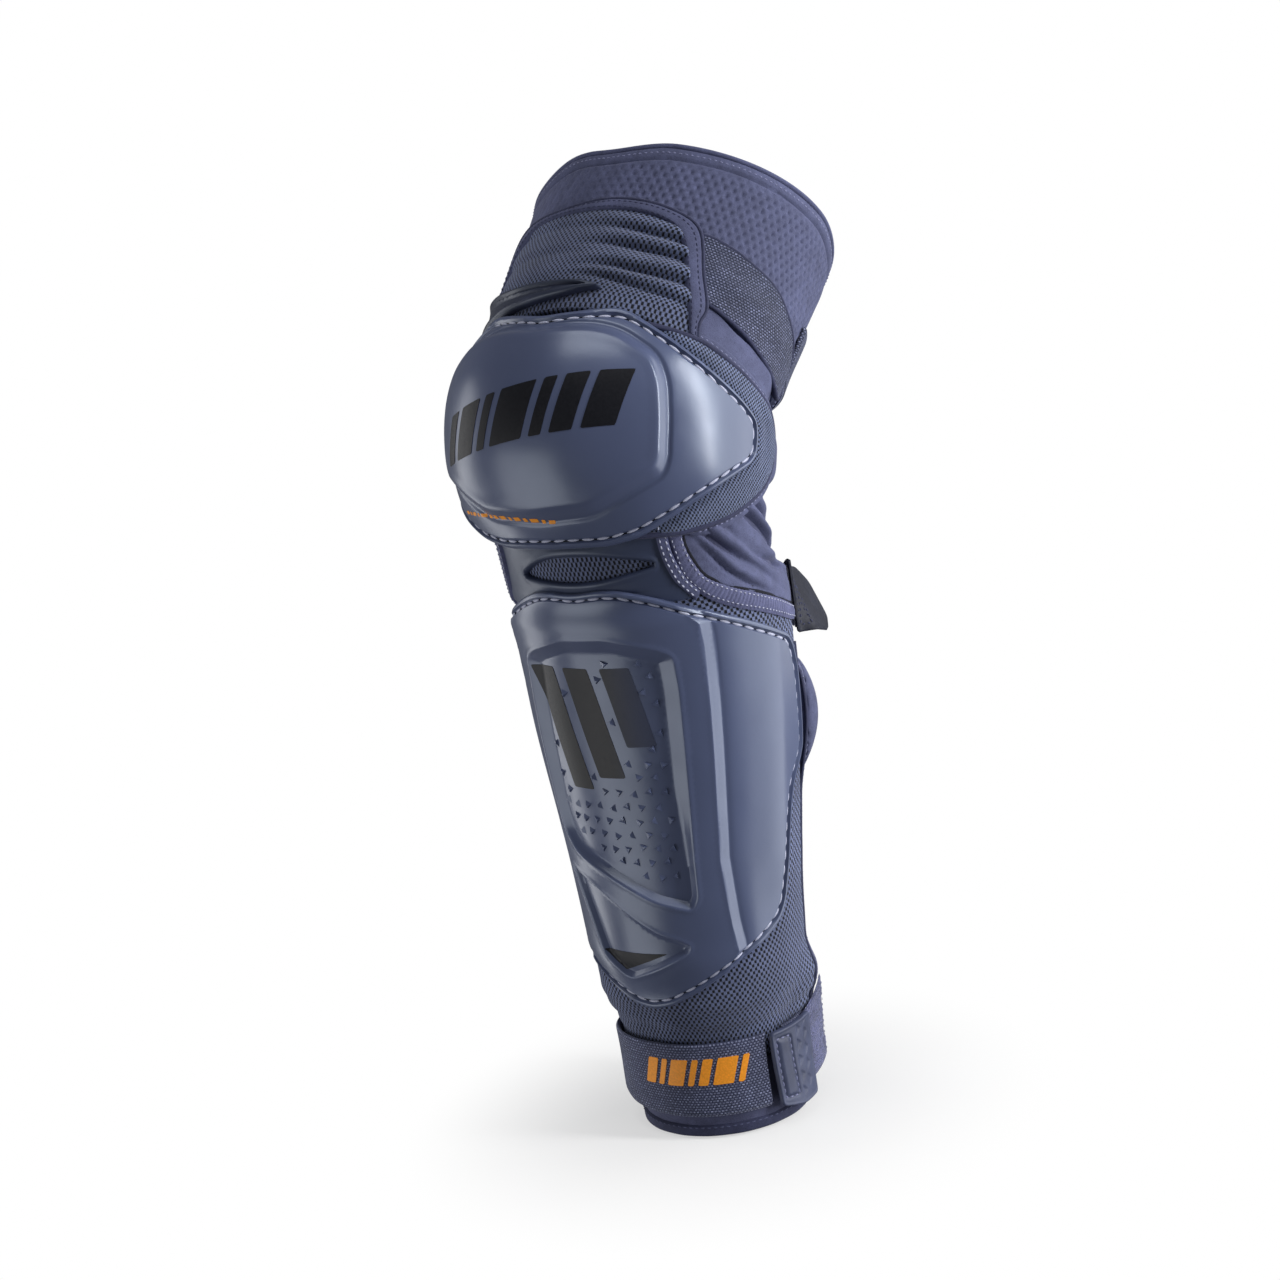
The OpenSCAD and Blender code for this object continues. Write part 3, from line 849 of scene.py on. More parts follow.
def sheet(name, material, plane, run, arc, outer, inner, inset=np.inf, edge=1.2,
          ring=False, flip=False):
    """Closed sheet over a grid (rows along run), thinned round within edge of its rim."""
    middle = (outer + inner) / 2
    bulge = rounded(inset, edge)
    points = [point(run, arc, middle + (rise - middle) * bulge).reshape(-1, 3)
              for rise in (outer, inner)]
    faces = grid_faces(*run.shape, ring)
    if flip:
        faces = [face[::-1] for face in faces]
    uv = plane.flatten(run, arc).reshape(-1, 2)
    return mesh_from(name, material, np.vstack(points), faces, np.vstack([uv, uv]))


def wrap_sheet(name, material, radius, arcs, runs, grid, outer, inner, edge=1.2):
    """Sheet round the leg between two arcs and two runs, which may vary with arc.

    grid is (columns, rows), outer and inner are fields of (run, arc), and radius
    sets the scale of the UV map.
    """
    ring = arcs == FULL_TURN
    columns, rows = grid
    arc = np.linspace(*arcs, columns, endpoint=not ring)
    low, high = (np.broadcast_to(value_at(end, arc), arc.shape) for end in runs)
    run = low + (high - low) * np.linspace(0, 1, rows)[:, None]
    arc = np.broadcast_to(arc, run.shape)
    inset = np.minimum(run - low, high - run)
    if not ring:
        ends = np.minimum(np.radians(arc - arcs[0]) * radius, np.radians(arcs[1] - arc) * radius)
        inset = np.minimum(inset, ends)
    return sheet(name, material, Plane(radius), run, arc, value_at(outer, run, arc),
                 value_at(inner, run, arc), inset, edge, ring)


def ribbon(name, material, plane, line, start, end, top, bottom, taper):
    """Strip along an open line between two sideways offsets, narrowed at its ends."""
    across = np.linspace(start, end, 9)
    length = travel(line)
    to_end = np.minimum(length, length[-1] - length)
    narrow = 0.08 + 0.92 * np.sqrt(np.clip(to_end / taper, 0, 1))
    offset = start + (across[:, None] - start) * narrow
    run, arc = plane.unroll(line + left_normals(line, False) * offset[:, :, None])
    to_side = np.minimum(across - min(start, end), max(start, end) - across)
    inset = np.minimum(to_side[:, None] * narrow, to_end)
    return sheet(name, material, plane, run, arc, value_at(top, run, arc), bottom,
                 inset, edge=1.3, flip=end < start)


def tube_faces(rings, sides, closed=False):
    faces = []
    for i in range(rings if closed else rings - 1):
        here, there = i * sides, (i + 1) % rings * sides
        for j in range(sides):
            k = (j + 1) % sides
            faces.append((here + j, there + j, there + k, here + k))
    if not closed:
        faces.append(tuple(range(sides)))
        faces.append(tuple(reversed(range((rings - 1) * sides, rings * sides))))
    return faces


def cord(name, material, path, half_width, half_height, sides=10):
    """Round or flattened cord along a path."""
    points, normals, closed = path
    along = tangents(points, closed)
    across = np.cross(along, normals)
    across /= np.linalg.norm(across, axis=1, keepdims=True)
    out = np.cross(across, along)
    turn = np.linspace(0, 2 * math.pi, sides, endpoint=False)
    skin = (points[:, None] + across[:, None] * (np.cos(turn)[:, None] * (half_width / 1000))
            + out[:, None] * (np.sin(turn)[:, None] * (half_height / 1000))).reshape(-1, 3)
    uv = np.stack([np.tile(turn / (2 * math.pi) * 8, len(points)),
                   np.repeat(travel(points) * 1000, sides)], -1)
    return mesh_from(name, material, skin, tube_faces(len(points), sides, closed), uv, sharp=60)


def stitches(name, material, paths, size, sink=0.1):
    """Thread stitches along paths; size is (length, gap, thread radius)."""
    length, gap, radius = size
    rows, sides = 5, 6
    one = []
    for place in np.linspace(-1, 1, rows):
        girth = np.sqrt(np.clip(1 - np.abs(place) ** 3.0, 0.05, 1))
        for turn in np.linspace(0, 2 * math.pi, sides, endpoint=False):
            one.append((place, math.cos(turn) * girth, math.sin(turn) * girth))
    one = np.array(one)
    one_faces = tube_faces(rows, sides)
    sag = (1 - one[:, :1] ** 2) * 0.22 / 1000
    points, faces = [], []
    for line, normals, closed in paths:
        if closed:
            line, normals = np.vstack([line, line[:1]]), np.vstack([normals, normals[:1]])
        known = travel(line) * 1000
        count = max(1, int(known[-1] / (length + gap)))
        pitch = known[-1] / count
        for i in range(count):
            centre = (i + 0.5) * pitch
            start, middle, end = (read_line(centre + step, known, line)
                                  for step in (-length / 2, 0, length / 2))
            along = end - start
            chord = np.linalg.norm(along)
            if chord < 1e-6:
                continue
            along /= chord
            across = np.cross(along, read_line(centre, known, normals))
            across /= np.linalg.norm(across)
            out = np.cross(across, along)
            tilted = along + across * RANDOM.normal(0, 0.05)
            first = len(points) * len(one)
            points.append(middle + tilted * (one[:, :1] * chord / 2)
                          + across * (one[:, 1:2] * radius * 1.15 / 1000)
                          + out * (one[:, 2:3] * radius * 0.8 / 1000 + sag - sink / 1000))
            faces += [tuple(first + v for v in face) for face in one_faces]
    return mesh_from(name, material, np.vstack(points), faces, sharp=70)


def decals(name, material, plane, shapes, surface, thick=0.16, gap=2.2, step=1.4, lift=0.1,
           corner=0.35):
    """Printed shapes, (run, arc) corners each, lying on a surface(run, arc)."""
    parts = [patch(f"{name}_{i}", material, plane, plane.polygon(shape, step, corner),
                   lambda run, arc, inset: surface(run, arc) + lift + thick,
                   lambda run, arc, inset: surface(run, arc) + lift - 0.35,
                   gap, rings=(0.5,))
             for i, shape in enumerate(shapes)]
    if len(parts) > 1:
        return merge(name, material, parts)
    parts[0].name = name
    return parts[0]


def evaluated_mesh(ob):
    graph = bpy.context.evaluated_depsgraph_get()
    return bpy.data.meshes.new_from_object(ob.evaluated_get(graph))


def swap_mesh(ob, mesh):
    ob.modifiers.clear()
    ob.vertex_groups.clear()
    ob.data = mesh


def inflate(ob, voxel, cap):
    """Blows up a pad with the cloth solver; no vertex moves more than cap (mm)."""
    bpy.context.view_layer.objects.active = ob
    source = coordinates(ob.data)
    remesh = ob.modifiers.new("remesh", "REMESH")
    remesh.mode = "VOXEL"
    remesh.voxel_size = voxel
    swap_mesh(ob, evaluated_mesh(ob))
    start = coordinates(ob.data)

    # the sewn-down face is the second half of the starting sheet
    tree = KDTree(len(source))
    for i, place in enumerate(source):
        tree.insert(place, i)
    tree.balance()
    pinned = [i for i, place in enumerate(start) if tree.find(place)[1] >= len(source) // 2]
    ob.vertex_groups.new(name="pin").add(pinned, 1.0, "REPLACE")

    cloth = ob.modifiers.new("cloth", "CLOTH")
    settings = cloth.settings
    settings.quality = 6
    settings.mass = 0.25
    settings.tension_stiffness = 12
    settings.compression_stiffness = 12
    settings.shear_stiffness = 6
    settings.bending_stiffness = 0.4
    settings.vertex_group_mass = "pin"
    settings.use_pressure = True
    settings.uniform_pressure_force = 4.0
    settings.effector_weights.gravity = 0
    cloth.collision_settings.use_collision = False
    scene = bpy.context.scene
    for frame in range(1, 21):
        scene.frame_set(frame)
    blown = evaluated_mesh(ob)
    move = coordinates(blown) - start
    length = np.linalg.norm(move, axis=1, keepdims=True)
    move *= np.minimum(1, cap / 1000 / np.maximum(length, 1e-9))
    blown.vertices.foreach_set("co", (start + move).ravel())
    swap_mesh(ob, blown)
    scene.frame_set(1)

    subdivide = ob.modifiers.new("subdivide", "SUBSURF")
    subdivide.levels = subdivide.render_levels = 1
    swap_mesh(ob, evaluated_mesh(ob))
    ob.data.polygons.foreach_set("use_smooth", np.ones(len(ob.data.polygons), bool))


def puff(name, plane, outline, base, rise, grid, cap, reach):
    """Small stuffed jersey pad, domed within reach of its outline."""
    def top(run, arc, inset):
        return (value_at(base, run, arc) + 0.6
                + value_at(rise, run, arc) * rounded(inset, reach))

    ob = patch(name, None, plane, outline, top,
               lambda run, arc, inset: value_at(base, run, arc), grid, rings=(1.2,))
    inflate(ob, grid / 1000 * 0.8, cap)
    ob.data.materials.clear()
    ob.data.materials.append(MATERIALS["jersey"])
    return ob


# ---------------------------------------------------------------------------
# Attaching to the moving bodies
# ---------------------------------------------------------------------------
# Fabric that turns from one body to the next: both bodies and the ends of the turn
SHIN_KNEE = ("shin", "knee", (0, 0, 0.3065), (0, 0, 0.333))
KNEE_THIGH = ("knee", "thigh", tuple(point(396, 0, 8)), tuple(point(424, 0, 8)))
# The lining, back panel and side cloth turn about the joint axis
JOINT = (0, 0.002, 0.356)
JOINT_END = (0, 0.002 + 0.029 * math.sin(math.radians(21)),
             0.356 + 0.029 * math.cos(math.radians(21)))
JOINT_TURN = ("knee", "thigh", JOINT, JOINT_END)
LONG_END = tuple(np.array(JOINT_END) + (np.array(JOINT_END) - np.array(JOINT)) * 0.5)
LONG_TURN = ("knee", "thigh", JOINT, LONG_END)


def put(ob, body, slot, *nodes):
    """Rides on a named body; with a pair of bodies it only has its transform baked. nodes are the
    CAD pieces replaced, which are hidden.
    """
    if isinstance(body, str):
        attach(ob, body)
    else:
        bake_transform(ob)
    if nodes:
        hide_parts(*nodes)


# ---------------------------------------------------------------------------
# Pull tabs, and the sewn edge of a hard shell
# ---------------------------------------------------------------------------
def tab_frame(root, rise, yaw, roll, lean):
    """Placing function of a tab rooted at (run, arc), and its outward direction."""
    tilt = -bend_at(root[0])
    cos, sin = math.cos(tilt), math.sin(tilt)
    about_x = np.array([[1, 0, 0], [0, cos, -sin], [0, sin, cos]])
    cos, sin = math.cos(math.radians(yaw)), math.sin(math.radians(yaw))
    about_z = np.array([[cos, -sin, 0], [sin, cos, 0], [0, 0, 1]])
    axes = about_x @ about_z
    origin = point(*root, rise)

    def place(x, z, out):
        """x along the tab, z across it, out through its thickness (mm)."""
        # the twist grows from nothing at the sewn root, which stays along its hinge line
        grow = ease(x, 0, 15)
        leaning, rolling = math.radians(lean) * grow, math.radians(roll) * grow
        y = -out
        y, z = (np.cos(leaning) * y - np.sin(leaning) * z,
                np.sin(leaning) * y + np.cos(leaning) * z)
        x, z = (np.cos(rolling) * x + np.sin(rolling) * z,
                -np.sin(rolling) * x + np.cos(rolling) * z)
        return np.stack([x, y, z], -1) / 1000 @ axes.T + origin

    return place, axes @ np.array([0, -1, 0])


def flat_tab(name, material, frame, length, width, thick, tip, ribs):
    """Stiff tab with rounded corners, narrowed over its last tip mm."""
    place, out = frame
    corners = np.array([(0.5, -width / 2), (length - tip, -width / 2), (length, -width * 0.28),
                        (length, width * 0.28), (length - tip, width / 2), (0.5, width / 2)])
    outline = resample(cut_corners(corners, (1.5, 4.0, 4.0, 4.0, 4.0, 1.5), 7), 1.0, True)
    low, high = outline.min(0), outline.max(0)
    grid = np.meshgrid(np.arange(low[0], high[0], 1.3), np.arange(low[1], high[1], 1.3))
    rings = [offset_line(outline, inset) for inset in (0.3, 0.7, 1.2, 2.2)]
    filling = np.vstack(rings + [np.stack(grid, -1).reshape(-1, 2)])
    filling = filling[inside(filling, outline) & (line_distance(filling, outline) > 0.22)]
    near = PointGrid(0.45, outline)
    points = list(outline)
    for spot in filling:
        if near.is_clear(*spot, 0.45):
            near.add([spot])
            points.append(spot)
    edges = [(i, (i + 1) % len(outline)) for i in range(len(outline))]
    placed, triangles, _ = triangulate(points, edges, lambda spots: inside(spots, outline))

    x, z = placed.T
    inset = line_distance(placed, outline)
    edge = rounded(inset, 0.9)
    lip = 0.35 * (1 - ease(inset, 1.6, 2.3))
    top = thick / 2 + (thick / 2 - 0.35) * edge + lip * edge
    if ribs:
        top = top + (0.45 * (0.5 + 0.5 * np.cos(2 * np.pi * x / 3.2))
                     * ease(x, length * 0.62, length * 0.66) * ease(inset, 3, 4))
    skin = np.vstack([place(x, z, top), place(x, z, thick / 2 - thick / 2 * edge)])
    first = skin[triangles[0]]
    if np.cross(first[1] - first[0], first[2] - first[0]) @ out <= 0:
        triangles = triangles[:, ::-1]
    return mesh_from(name, material, skin, two_sided(triangles, len(placed)),
                     np.vstack([placed, placed]))


def strap_tab(part, root, yaw, rise, size, hook_rise, hook_size, sewn, roll=0.0, lean=0.0):
    """Rubber tab, its crossed stitches out to sewn each way, and the hook patch under it."""
    body, thick = f"{part}_tab", 2.0
    frame = tab_frame(root, rise, yaw, roll, lean)
    put(flat_tab(f"{body}_body", "rubber", frame, *size, thick, tip=12, ribs=True),
        body, "rubber_tab", f"{part}_strap_tab")
    place, out = frame
    paths = []
    for corners in ([(3, -sewn), (3, sewn), (11, sewn), (11, -sewn), (3, -sewn)],
                    [(3, -sewn), (11, sewn)], [(3, sewn), (11, -sewn)]):
        x, z = resample(np.array(corners, float), 0.8, False).T
        paths.append((place(x, z, np.full(len(x), thick - 0.35)),
                      np.tile(out, (len(x), 1)), False))
    put(stitches(f"{body}_stitches", "binding", paths, (2.0, 1.2, 0.34)), body, "rubber_tab")
    frame = tab_frame(root, hook_rise, yaw, roll, lean)
    put(flat_tab(f"{part}_hook", "hook", frame, *hook_size, 1.0, tip=4, ribs=False),
        body, "hook_loop", f"{part}_hook_patch")


def sewn_edge(name, body, plane, outline, inset, top):
    """Pale stitches, and a near-black cord of painted shade in the sewing channel, run round a shell
    at an inset.
    """
    line = offset_line(outline, inset)

    def rise(run, arc):
        return top(run, arc, np.full_like(run, inset))

    put(stitches(f"{name}_stitches", "thread", [plane.path(resample(line, 1.0, True), rise)],
                 (6.4, 1.5, 0.6), sink=-0.4), body, "shell")
    # the dark cord is painted shade at the bottom of the sewing channel
    put(cord(f"{name}_channel", "seam", plane.path(resample(line, 1.3, True), rise), 1.0, 0.3),
        body, "shell")


# ---------------------------------------------------------------------------
# Ankle
# ---------------------------------------------------------------------------
ANKLE_STRAP = (9, 51)
SLEEVE_FOOT = 36.6
# The lower edge of the shin shell: run, then arc
SHELL_FOOT = ((60, 74, 83, 96, 106, 112, 122, 144), (0, 0, 27, 49, 70, 79, 84.5, 88.6))

put(wrap_sheet("hem_cuff", "jersey_dark", 45, FULL_TURN, (-3.4, 36.4), (240, 26),
               lambda run, arc: 3.0 + wave(run, arc, 0.16, 7, 13, 0.2) - 0.45 * bump(run, 4.4, 1.2),
               0.0), "shin", "neoprene", "ankle_cuff")
put(wrap_sheet("hem_binding", "binding", 45, FULL_TURN, (-3.8, 3.2), (240, 10),
               lambda run, arc: 4.7 + wave(run, arc, 0.12, 9, 17, 0.3), -0.4, edge=1.6),
    "shin", "binding", "ankle_hem_binding")
put(stitches("hem_stitches", "tape", [ring_path(1.9, 4.72)], (2.1, 1.4, 0.3)),
    "shin", "binding")


def swell(run, arc):
    """Extra fullness of the ankle, mostly on its inner side, clear of the shell."""
    arc = signed(arc)
    return ((5.4 * bump(arc, -64, 58) + 1.2 * bump(arc, 70, 45))
            * ease(np.abs(arc) - np.interp(run, *SHELL_FOOT), 0, 10)
            * (1 - ease(run, 96, 150)) * ease(run, 1, 16))


def ankle_strap_top(run, arc):
    to_edge = np.minimum(run - ANKLE_STRAP[0], ANKLE_STRAP[1] - run)
    return 7.4 + swell(run, arc) + wave(run, arc, 0.22, 3, 8, 0.09) - 0.25 * bump(to_edge, 0, 3)


def ankle_loop_lift(arc):
    """The loop patch stands off more and more towards its back end."""
    return 8.0 * ease(arc, 92, 129)


put(wrap_sheet("ankle_strap_band", "elastic_dark", 50, (78, 424), ANKLE_STRAP, (330, 30),
               ankle_strap_top, lambda run, arc: 4.9 + swell(run, arc), edge=1.1),
    "shin", "elastic", "ankle_strap")
put(wrap_sheet("ankle_loop", "nap", 53, (84, 127),
               (lambda arc: 11 + 5 * ease(arc, 98, 126), lambda arc: 50.5 + 12 * ease(arc, 96, 126)),
               (70, 34),
               lambda run, arc: 9.1 + ankle_loop_lift(arc) + wave(run, arc, 0.2, 11, 23, 0.4),
               lambda run, arc: 7.7 + ankle_loop_lift(arc)),
    "shin", "hook_loop", "ankle_loop_patch")
ANKLE_LOOP = Plane(53)
loop_sewing = ANKLE_LOOP.polygon([(13.2, 86), (13.2, 97), (19.5, 124.5), (60, 124.5), (49, 97),
                                  (48.5, 86)], 0.9, 2)
put(stitches("ankle_loop_stitches", "thread_dark",
             [ANKLE_LOOP.path(loop_sewing, lambda run, arc: 9.25 + ankle_loop_lift(arc))],
             (1.8, 1.3, 0.28)), "shin", "hook_loop")


def ankle_bars():
    """Slanted orange bars on the front of the strap; widths and gaps are in degrees."""
    foot, head, slant, gap = 27.5, 42.5, 5.2, 3.0
    bars = []
    left = -21.0
    for width in (7.5, 4, 11, 4, 6.5, 13, 4):
        bars.append([(foot, left), (foot, left + width), (head, left + width + slant),
                     (head, left + slant)])
        left += width + gap
    put(decals("ankle_bars", "ink_orange", Plane(50), bars, ankle_strap_top, thick=0.22),
        "shin", "elastic")


ankle_bars()

ANKLE_TAB = Plane(54)
TAB_OUTLINE = ANKLE_TAB.polygon([(7.5, 67.5), (3.0, 86), (3.5, 102.5), (51.5, 103),
                                 (50.8, 64.5)], 0.9, 3.0)
TAB_SEWING = ANKLE_TAB.polygon([(46.2, 68.6), (45.4, 79.5), (10.2, 82.3), (11.6, 71.0)],
                               0.7, 1.6)


def ankle_tab_top(run, arc, inset):
    sewing = ANKLE_TAB.depth(run, arc, TAB_SEWING)
    lip = 0.35 * (1 - ease(inset, 1.3, 2.0))
    channel = -0.75 * bump(sewing, 0.0, 1.3) + 0.35 * ease(sewing, 1.6, 2.2)
    # stamped triangles between the sewing field and the free end, in two staggered columns
    across = np.radians(arc - 84.5) * ANKLE_TAB.radius
    stamps = 0
    for row in (10.5, 19.5, 28.5, 37.5, 46):
        for column, stagger in ((2.6, 0.0), (9.6, 4.2)):
            x, y = across - column, run - row - stagger
            depth = np.minimum(np.minimum(x + 2.1, 2.1 - x * 0.9 - y * 0.95),
                               2.1 - x * 0.9 + y * 0.95)
            stamps = stamps - 0.55 * ease(depth, 0, 0.7)
    return 10.2 + (1.85 + lip + channel + stamps * ease(inset, 1.8, 2.6)) * rounded(inset, 1.1)


put(patch("ankle_tab_body", "rubber_grey", ANKLE_TAB, TAB_OUTLINE, ankle_tab_top, 10.15, 0.75,
          rings=(0.3, 0.8, 1.4, 2.0), lines=[(TAB_SEWING, True, (-0.7, 0, 0.7, 1.4))]),
    "ankle_tab", "rubber_tab", "ankle_strap_tab")
put(stitches("ankle_tab_stitches", "thread_dark", [ANKLE_TAB.path(TAB_SEWING, 11.45)],
             (2.6, 1.1, 0.36)), "ankle_tab", "rubber_tab")
put(wrap_sheet("ankle_hook", "hook", 53, (72, 98), (13, 49), (40, 30), 10.1, 9.0),
    "ankle_tab", "hook_loop", "ankle_hook_patch")

# ---------------------------------------------------------------------------
# Shin sleeve and calf
# ---------------------------------------------------------------------------
CALF_STRAP = (257, 297)
CALF_ARCS = (112, 248)


def above_ankle(run):
    return ease(run, 50, 77)


def flare(run, arc):
    """The sleeve stands off over the end of the ankle loop patch."""
    return (8.6 * ease(run, 44.5, 52) * (1 - ease(run, 62, 94)) * bump(signed(arc), 121, 32))


def sleeve_rise(run, arc):
    folds = (0.55 * np.sin(run * 0.62 + 1.4 * np.sin(np.radians(arc) * 1.7))
             * (1 - ease(run, 58, 84)) * ease(run, 50, 55))
    return (3.1 + 7.1 * above_ankle(run) + folds + wave(run, arc, 0.12, 5, 11, 0.11)
            + swell(run, arc) + flare(run, arc))


def calf_rise(run, arc):
    """The calf panel comes up to the sleeve along both side seams."""
    meets = ease(np.abs(arc - 180), 46, 68) * (1 - ease(run, 236, 254))
    middle = (3.3 + 2.5 * above_ankle(run) + wave(run, arc, 0.35, 6, 13, 0.08)
              + 0.3 * np.sin(run * 0.21) * bump(arc, 180, 60))
    return (flare(run, arc) + 5.4 * bump(run, 213, 44) * bump(from_front(arc), 124, 30)
            + middle * (1 - meets)
            + (3.1 + 7.1 * above_ankle(run) + swell(run, arc)) * meets)


put(wrap_sheet("shin_lining", "lining", 60, FULL_TURN, (SLEEVE_FOOT, 300.2), (160, 66),
               lambda run, arc: 1.2 + wave(run, arc, 0.08),
               lambda run, arc: wave(run, arc, 0.12, 4, 7)), "shin", "neoprene", "shin_liner")
put(wrap_sheet("shin_core", "foam", 60, (-74, 74), (90, 292), (60, 60), 7.9, 2.4, edge=4),
    "shin", "foam", "shin_foam")
put(wrap_sheet("shin_sleeve", "mesh_sleeve", 60, (-111, 111),
               (SLEEVE_FOOT, lambda arc: 301.5 - 6 * ease(np.abs(arc), 50, 95)), (200, 180),
               sleeve_rise,
               lambda run, arc: 1.8 + 6.9 * above_ankle(run) + swell(run, arc) + flare(run, arc),
               edge=1.0), "shin", "mesh", "shin_mesh_sleeve")
put(wrap_sheet("calf_back", "jersey", 60, (110.5, 249.5), (SLEEVE_FOOT, 298.6), (130, 150),
               calf_rise, 2.0), "shin", "neoprene", "calf_panel")


def side_seams():
    """Cords over the joints of sleeve and calf panel, and a row of stitches behind each."""
    cords, rows = [], []
    for arc, sleeve_arc in ((111.5, 111), (248.5, 249)):
        run = np.linspace(54, 255, 170)
        rise = np.maximum(sleeve_rise(run, sleeve_arc), calf_rise(run, arc)) - 0.35
        cords.append(cord("side_seam", "binding", leg_path(run, arc, rise), 1.3, 1.0))
    put(merge("side_seams", "binding", cords), "shin", "binding")
    for arc in (113.6, 246.4):
        run = np.linspace(54, 252, 260)
        rows.append(leg_path(run, arc, calf_rise(run, arc) + 0.1))
    put(stitches("side_seam_stitches", "thread_dark", rows, (2.0, 1.4, 0.3)),
        "shin", "neoprene")


side_seams()

# run, degrees back from the middle of the pad
CALF_PAD = [(176, 0), (186, -7), (199, -12), (213, -13.5), (227, -11.5), (238, -7), (246, 0),
            (238, 8), (227, 13), (213, 15), (199, 13), (186, 8)]
CALF_PLANE = Plane(66)
for side, side_name in SIDES:
    middle = 180 - 56 * side
    outline = CALF_PLANE.smooth([(run, middle + back * side)
                                 for run, back in CALF_PAD][::side], 2.0)
    put(puff(f"calf_pad_{side_name}", CALF_PLANE, outline,
             lambda run, arc: calf_rise(run, arc) - 0.8,
             lambda run, arc: 5.2 * np.clip(1 - ((run - 211.5) / 36.5) ** 2, 0.04, 1) ** 0.8,
             grid=2.4, cap=1.4, reach=14.0),
        "shin", "neoprene", f"calf_side_pad_{side_name}")

put(wrap_sheet("calf_strap_band", "elastic", 68, CALF_ARCS, CALF_STRAP, (140, 28),
               lambda run, arc: 8.6 + wave(run, arc, 0.25, 4, 9, 0.1), 6.2, edge=1.1),
    "shin", "elastic", "calf_strap")
put(wrap_sheet("calf_loop", "nap", 68, (128, 176), (258.5, 295.5), (50, 26),
               lambda run, arc: 10.3 + wave(run, arc, 0.15, 11, 23, 0.4), 9.0),
    "shin", "hook_loop", "calf_loop_patch")
strap_tab("calf", root=(278, 117.5), yaw=104, rise=10.6, size=(44, 40), hook_rise=9.5,
          hook_size=(34, 34), sewn=16, roll=16, lean=-26)
put(wrap_sheet("calf_binding", "binding", 68, (111.5, 248.5), (298.2, 301.0), (130, 7),
               lambda run, arc: 6.2 + wave(run, arc, 0.15, 8, 15, 0.1), 1.8, edge=1.3),
    "shin", "binding", "calf_top_binding")

# ---------------------------------------------------------------------------
# Shin shell. Outlines are (run, arc) corners.
# ---------------------------------------------------------------------------
SHIN = Plane(68.0)
SHELL = SHIN.polygon(mirror_outline([
    (74, 0), (76, 12), (83, 27), (96, 49), (106, 70), (112, 79), (122, 84.5), (144, 88.6),
    (170, 91.5), (184, 94.5), (196, 101.5), (202, 104), (212, 104), (224, 103.5), (245, 102.5),
    (258, 100), (265, 96.5), (268.5, 91), (276, 78), (284, 64), (295, 44), (302, 32), (307, 20),
    (308, 12), (306.5, 0)]), 1.2, 5.0)
# The sunk floor of the front
RECESS = SHIN.polygon([
    (281, 0), (281, 10), (274, 28.5), (270, 34.5), (250, 35), (207, 34), (159, 33), (137, 33),
    (131, 30), (137, 13), (146, -1.5), (154, -15), (162, -31), (172, -38), (190, -40),
    (250, -37), (270, -35), (274, -28.5), (281, -10)], 1.1, 4.0)
# The sunk slanted V below it
VEE = SHIN.polygon([
    (152, -41), (123, -31), (104, -25), (94, -14), (92, -8.5), (98, 7), (107, 25), (111, 27),
    (115, 21), (118, 13), (125, 3), (136, -10), (144, -22)], 1.1, 3.0)
# The ridge between the front and side faces: run, then arc
RIDGE = np.array([(80, 92, 104, 120, 156, 200, 240, 285, 300),
                  (28, 44, 52.5, 50.5, 47.5, 48.5, 49.5, 50, 40)], float)
RIDGE_OFFSETS = (-5.2, -4.3, -3.6, -3.2, -2.7, -1.2, 1.2, 2.8, 3.2, 3.7, 4.6)


def shell_top(run, arc, inset=None):
    """Rise of the shell; without inset, its face carried on past the rim."""
    outer = np.abs(arc)
    x = np.radians(outer - np.interp(run, *RIDGE)) * SHIN.radius
    shaped = ease(run, 78, 104) * (1 - ease(run, 286, 301))
    # front face, a chamfer along the ridge, then the flat side face
    front = 3.6 * (1 - np.clip((x + 3.2) / 6.4, 0, 1))
    ridge = 0.22 * bump(x, -3.6, 1.5) - 0.2 * bump(x, 4.0, 1.8)
    side = -1.25 * bump(x, 25, 20)
    rise = 13.3 + shaped * (front + ridge + side + 0.35)
    # the recess, with a wall that widens upwards, and the V, each with a raised lip
    recess = SHIN.depth(run, arc, RECESS)
    wall = 3.2 + 3.6 * ease(run, 150, 205)
    u = np.clip(recess / wall, 0, 1)
    rise = rise - 4.1 * (0.82 * u + 0.18 * u * u * (3 - 2 * u)) + 0.5 * bump(recess, -0.9, 1.5)
    vee = SHIN.depth(run, arc, VEE)
    rise = rise - 2.8 * np.clip(vee / 2.6, 0, 1) + 0.4 * bump(vee, -0.8, 1.3)
    if inset is not None:
        # raised rim and the sewing channel inside it
        rise = rise + 0.75 * (1 - ease(inset, 2.5, 3.0)) - 1.5 * bump(inset, 4.0, 1.2)
        rise = round_rim(rise, 11.5, inset, 1.4)
    return rise


ridge_line = SHIN.smooth(RIDGE.T, 1.2, closed=False)
put(patch("shin_shell_body", "shell", SHIN, SHELL, shell_top, 10.9, 2.0,
          rings=(0.35, 0.8, 1.4, 2.0, 2.5, 3.0, 3.4, 4.0, 4.6, 5.2, 6.0),
          lines=[(RECESS, True, (-2.2, -0.9, 0.0, 0.8, 1.8, 3.2, 4.6, 6.0, 6.8)),
                 (VEE, True, (-1.8, -0.8, 0.0, 0.9, 1.8, 2.6)),
                 (ridge_line, False, RIDGE_OFFSETS),
                 (ridge_line * np.array([-1, 1]), False,
                  [-offset for offset in reversed(RIDGE_OFFSETS)])]),
    "shin", "shell", "shin_shell")
sewn_edge("shin_shell", "shin", SHIN, SHELL, 4.0, shell_top)

# Printed upright bars on the floor of the recess: lower end, left edge
SHIN_BARS = ((198, -33), (205, -14), (222, 5))
BAR_HEAD, BAR_WIDTH = 265, 13


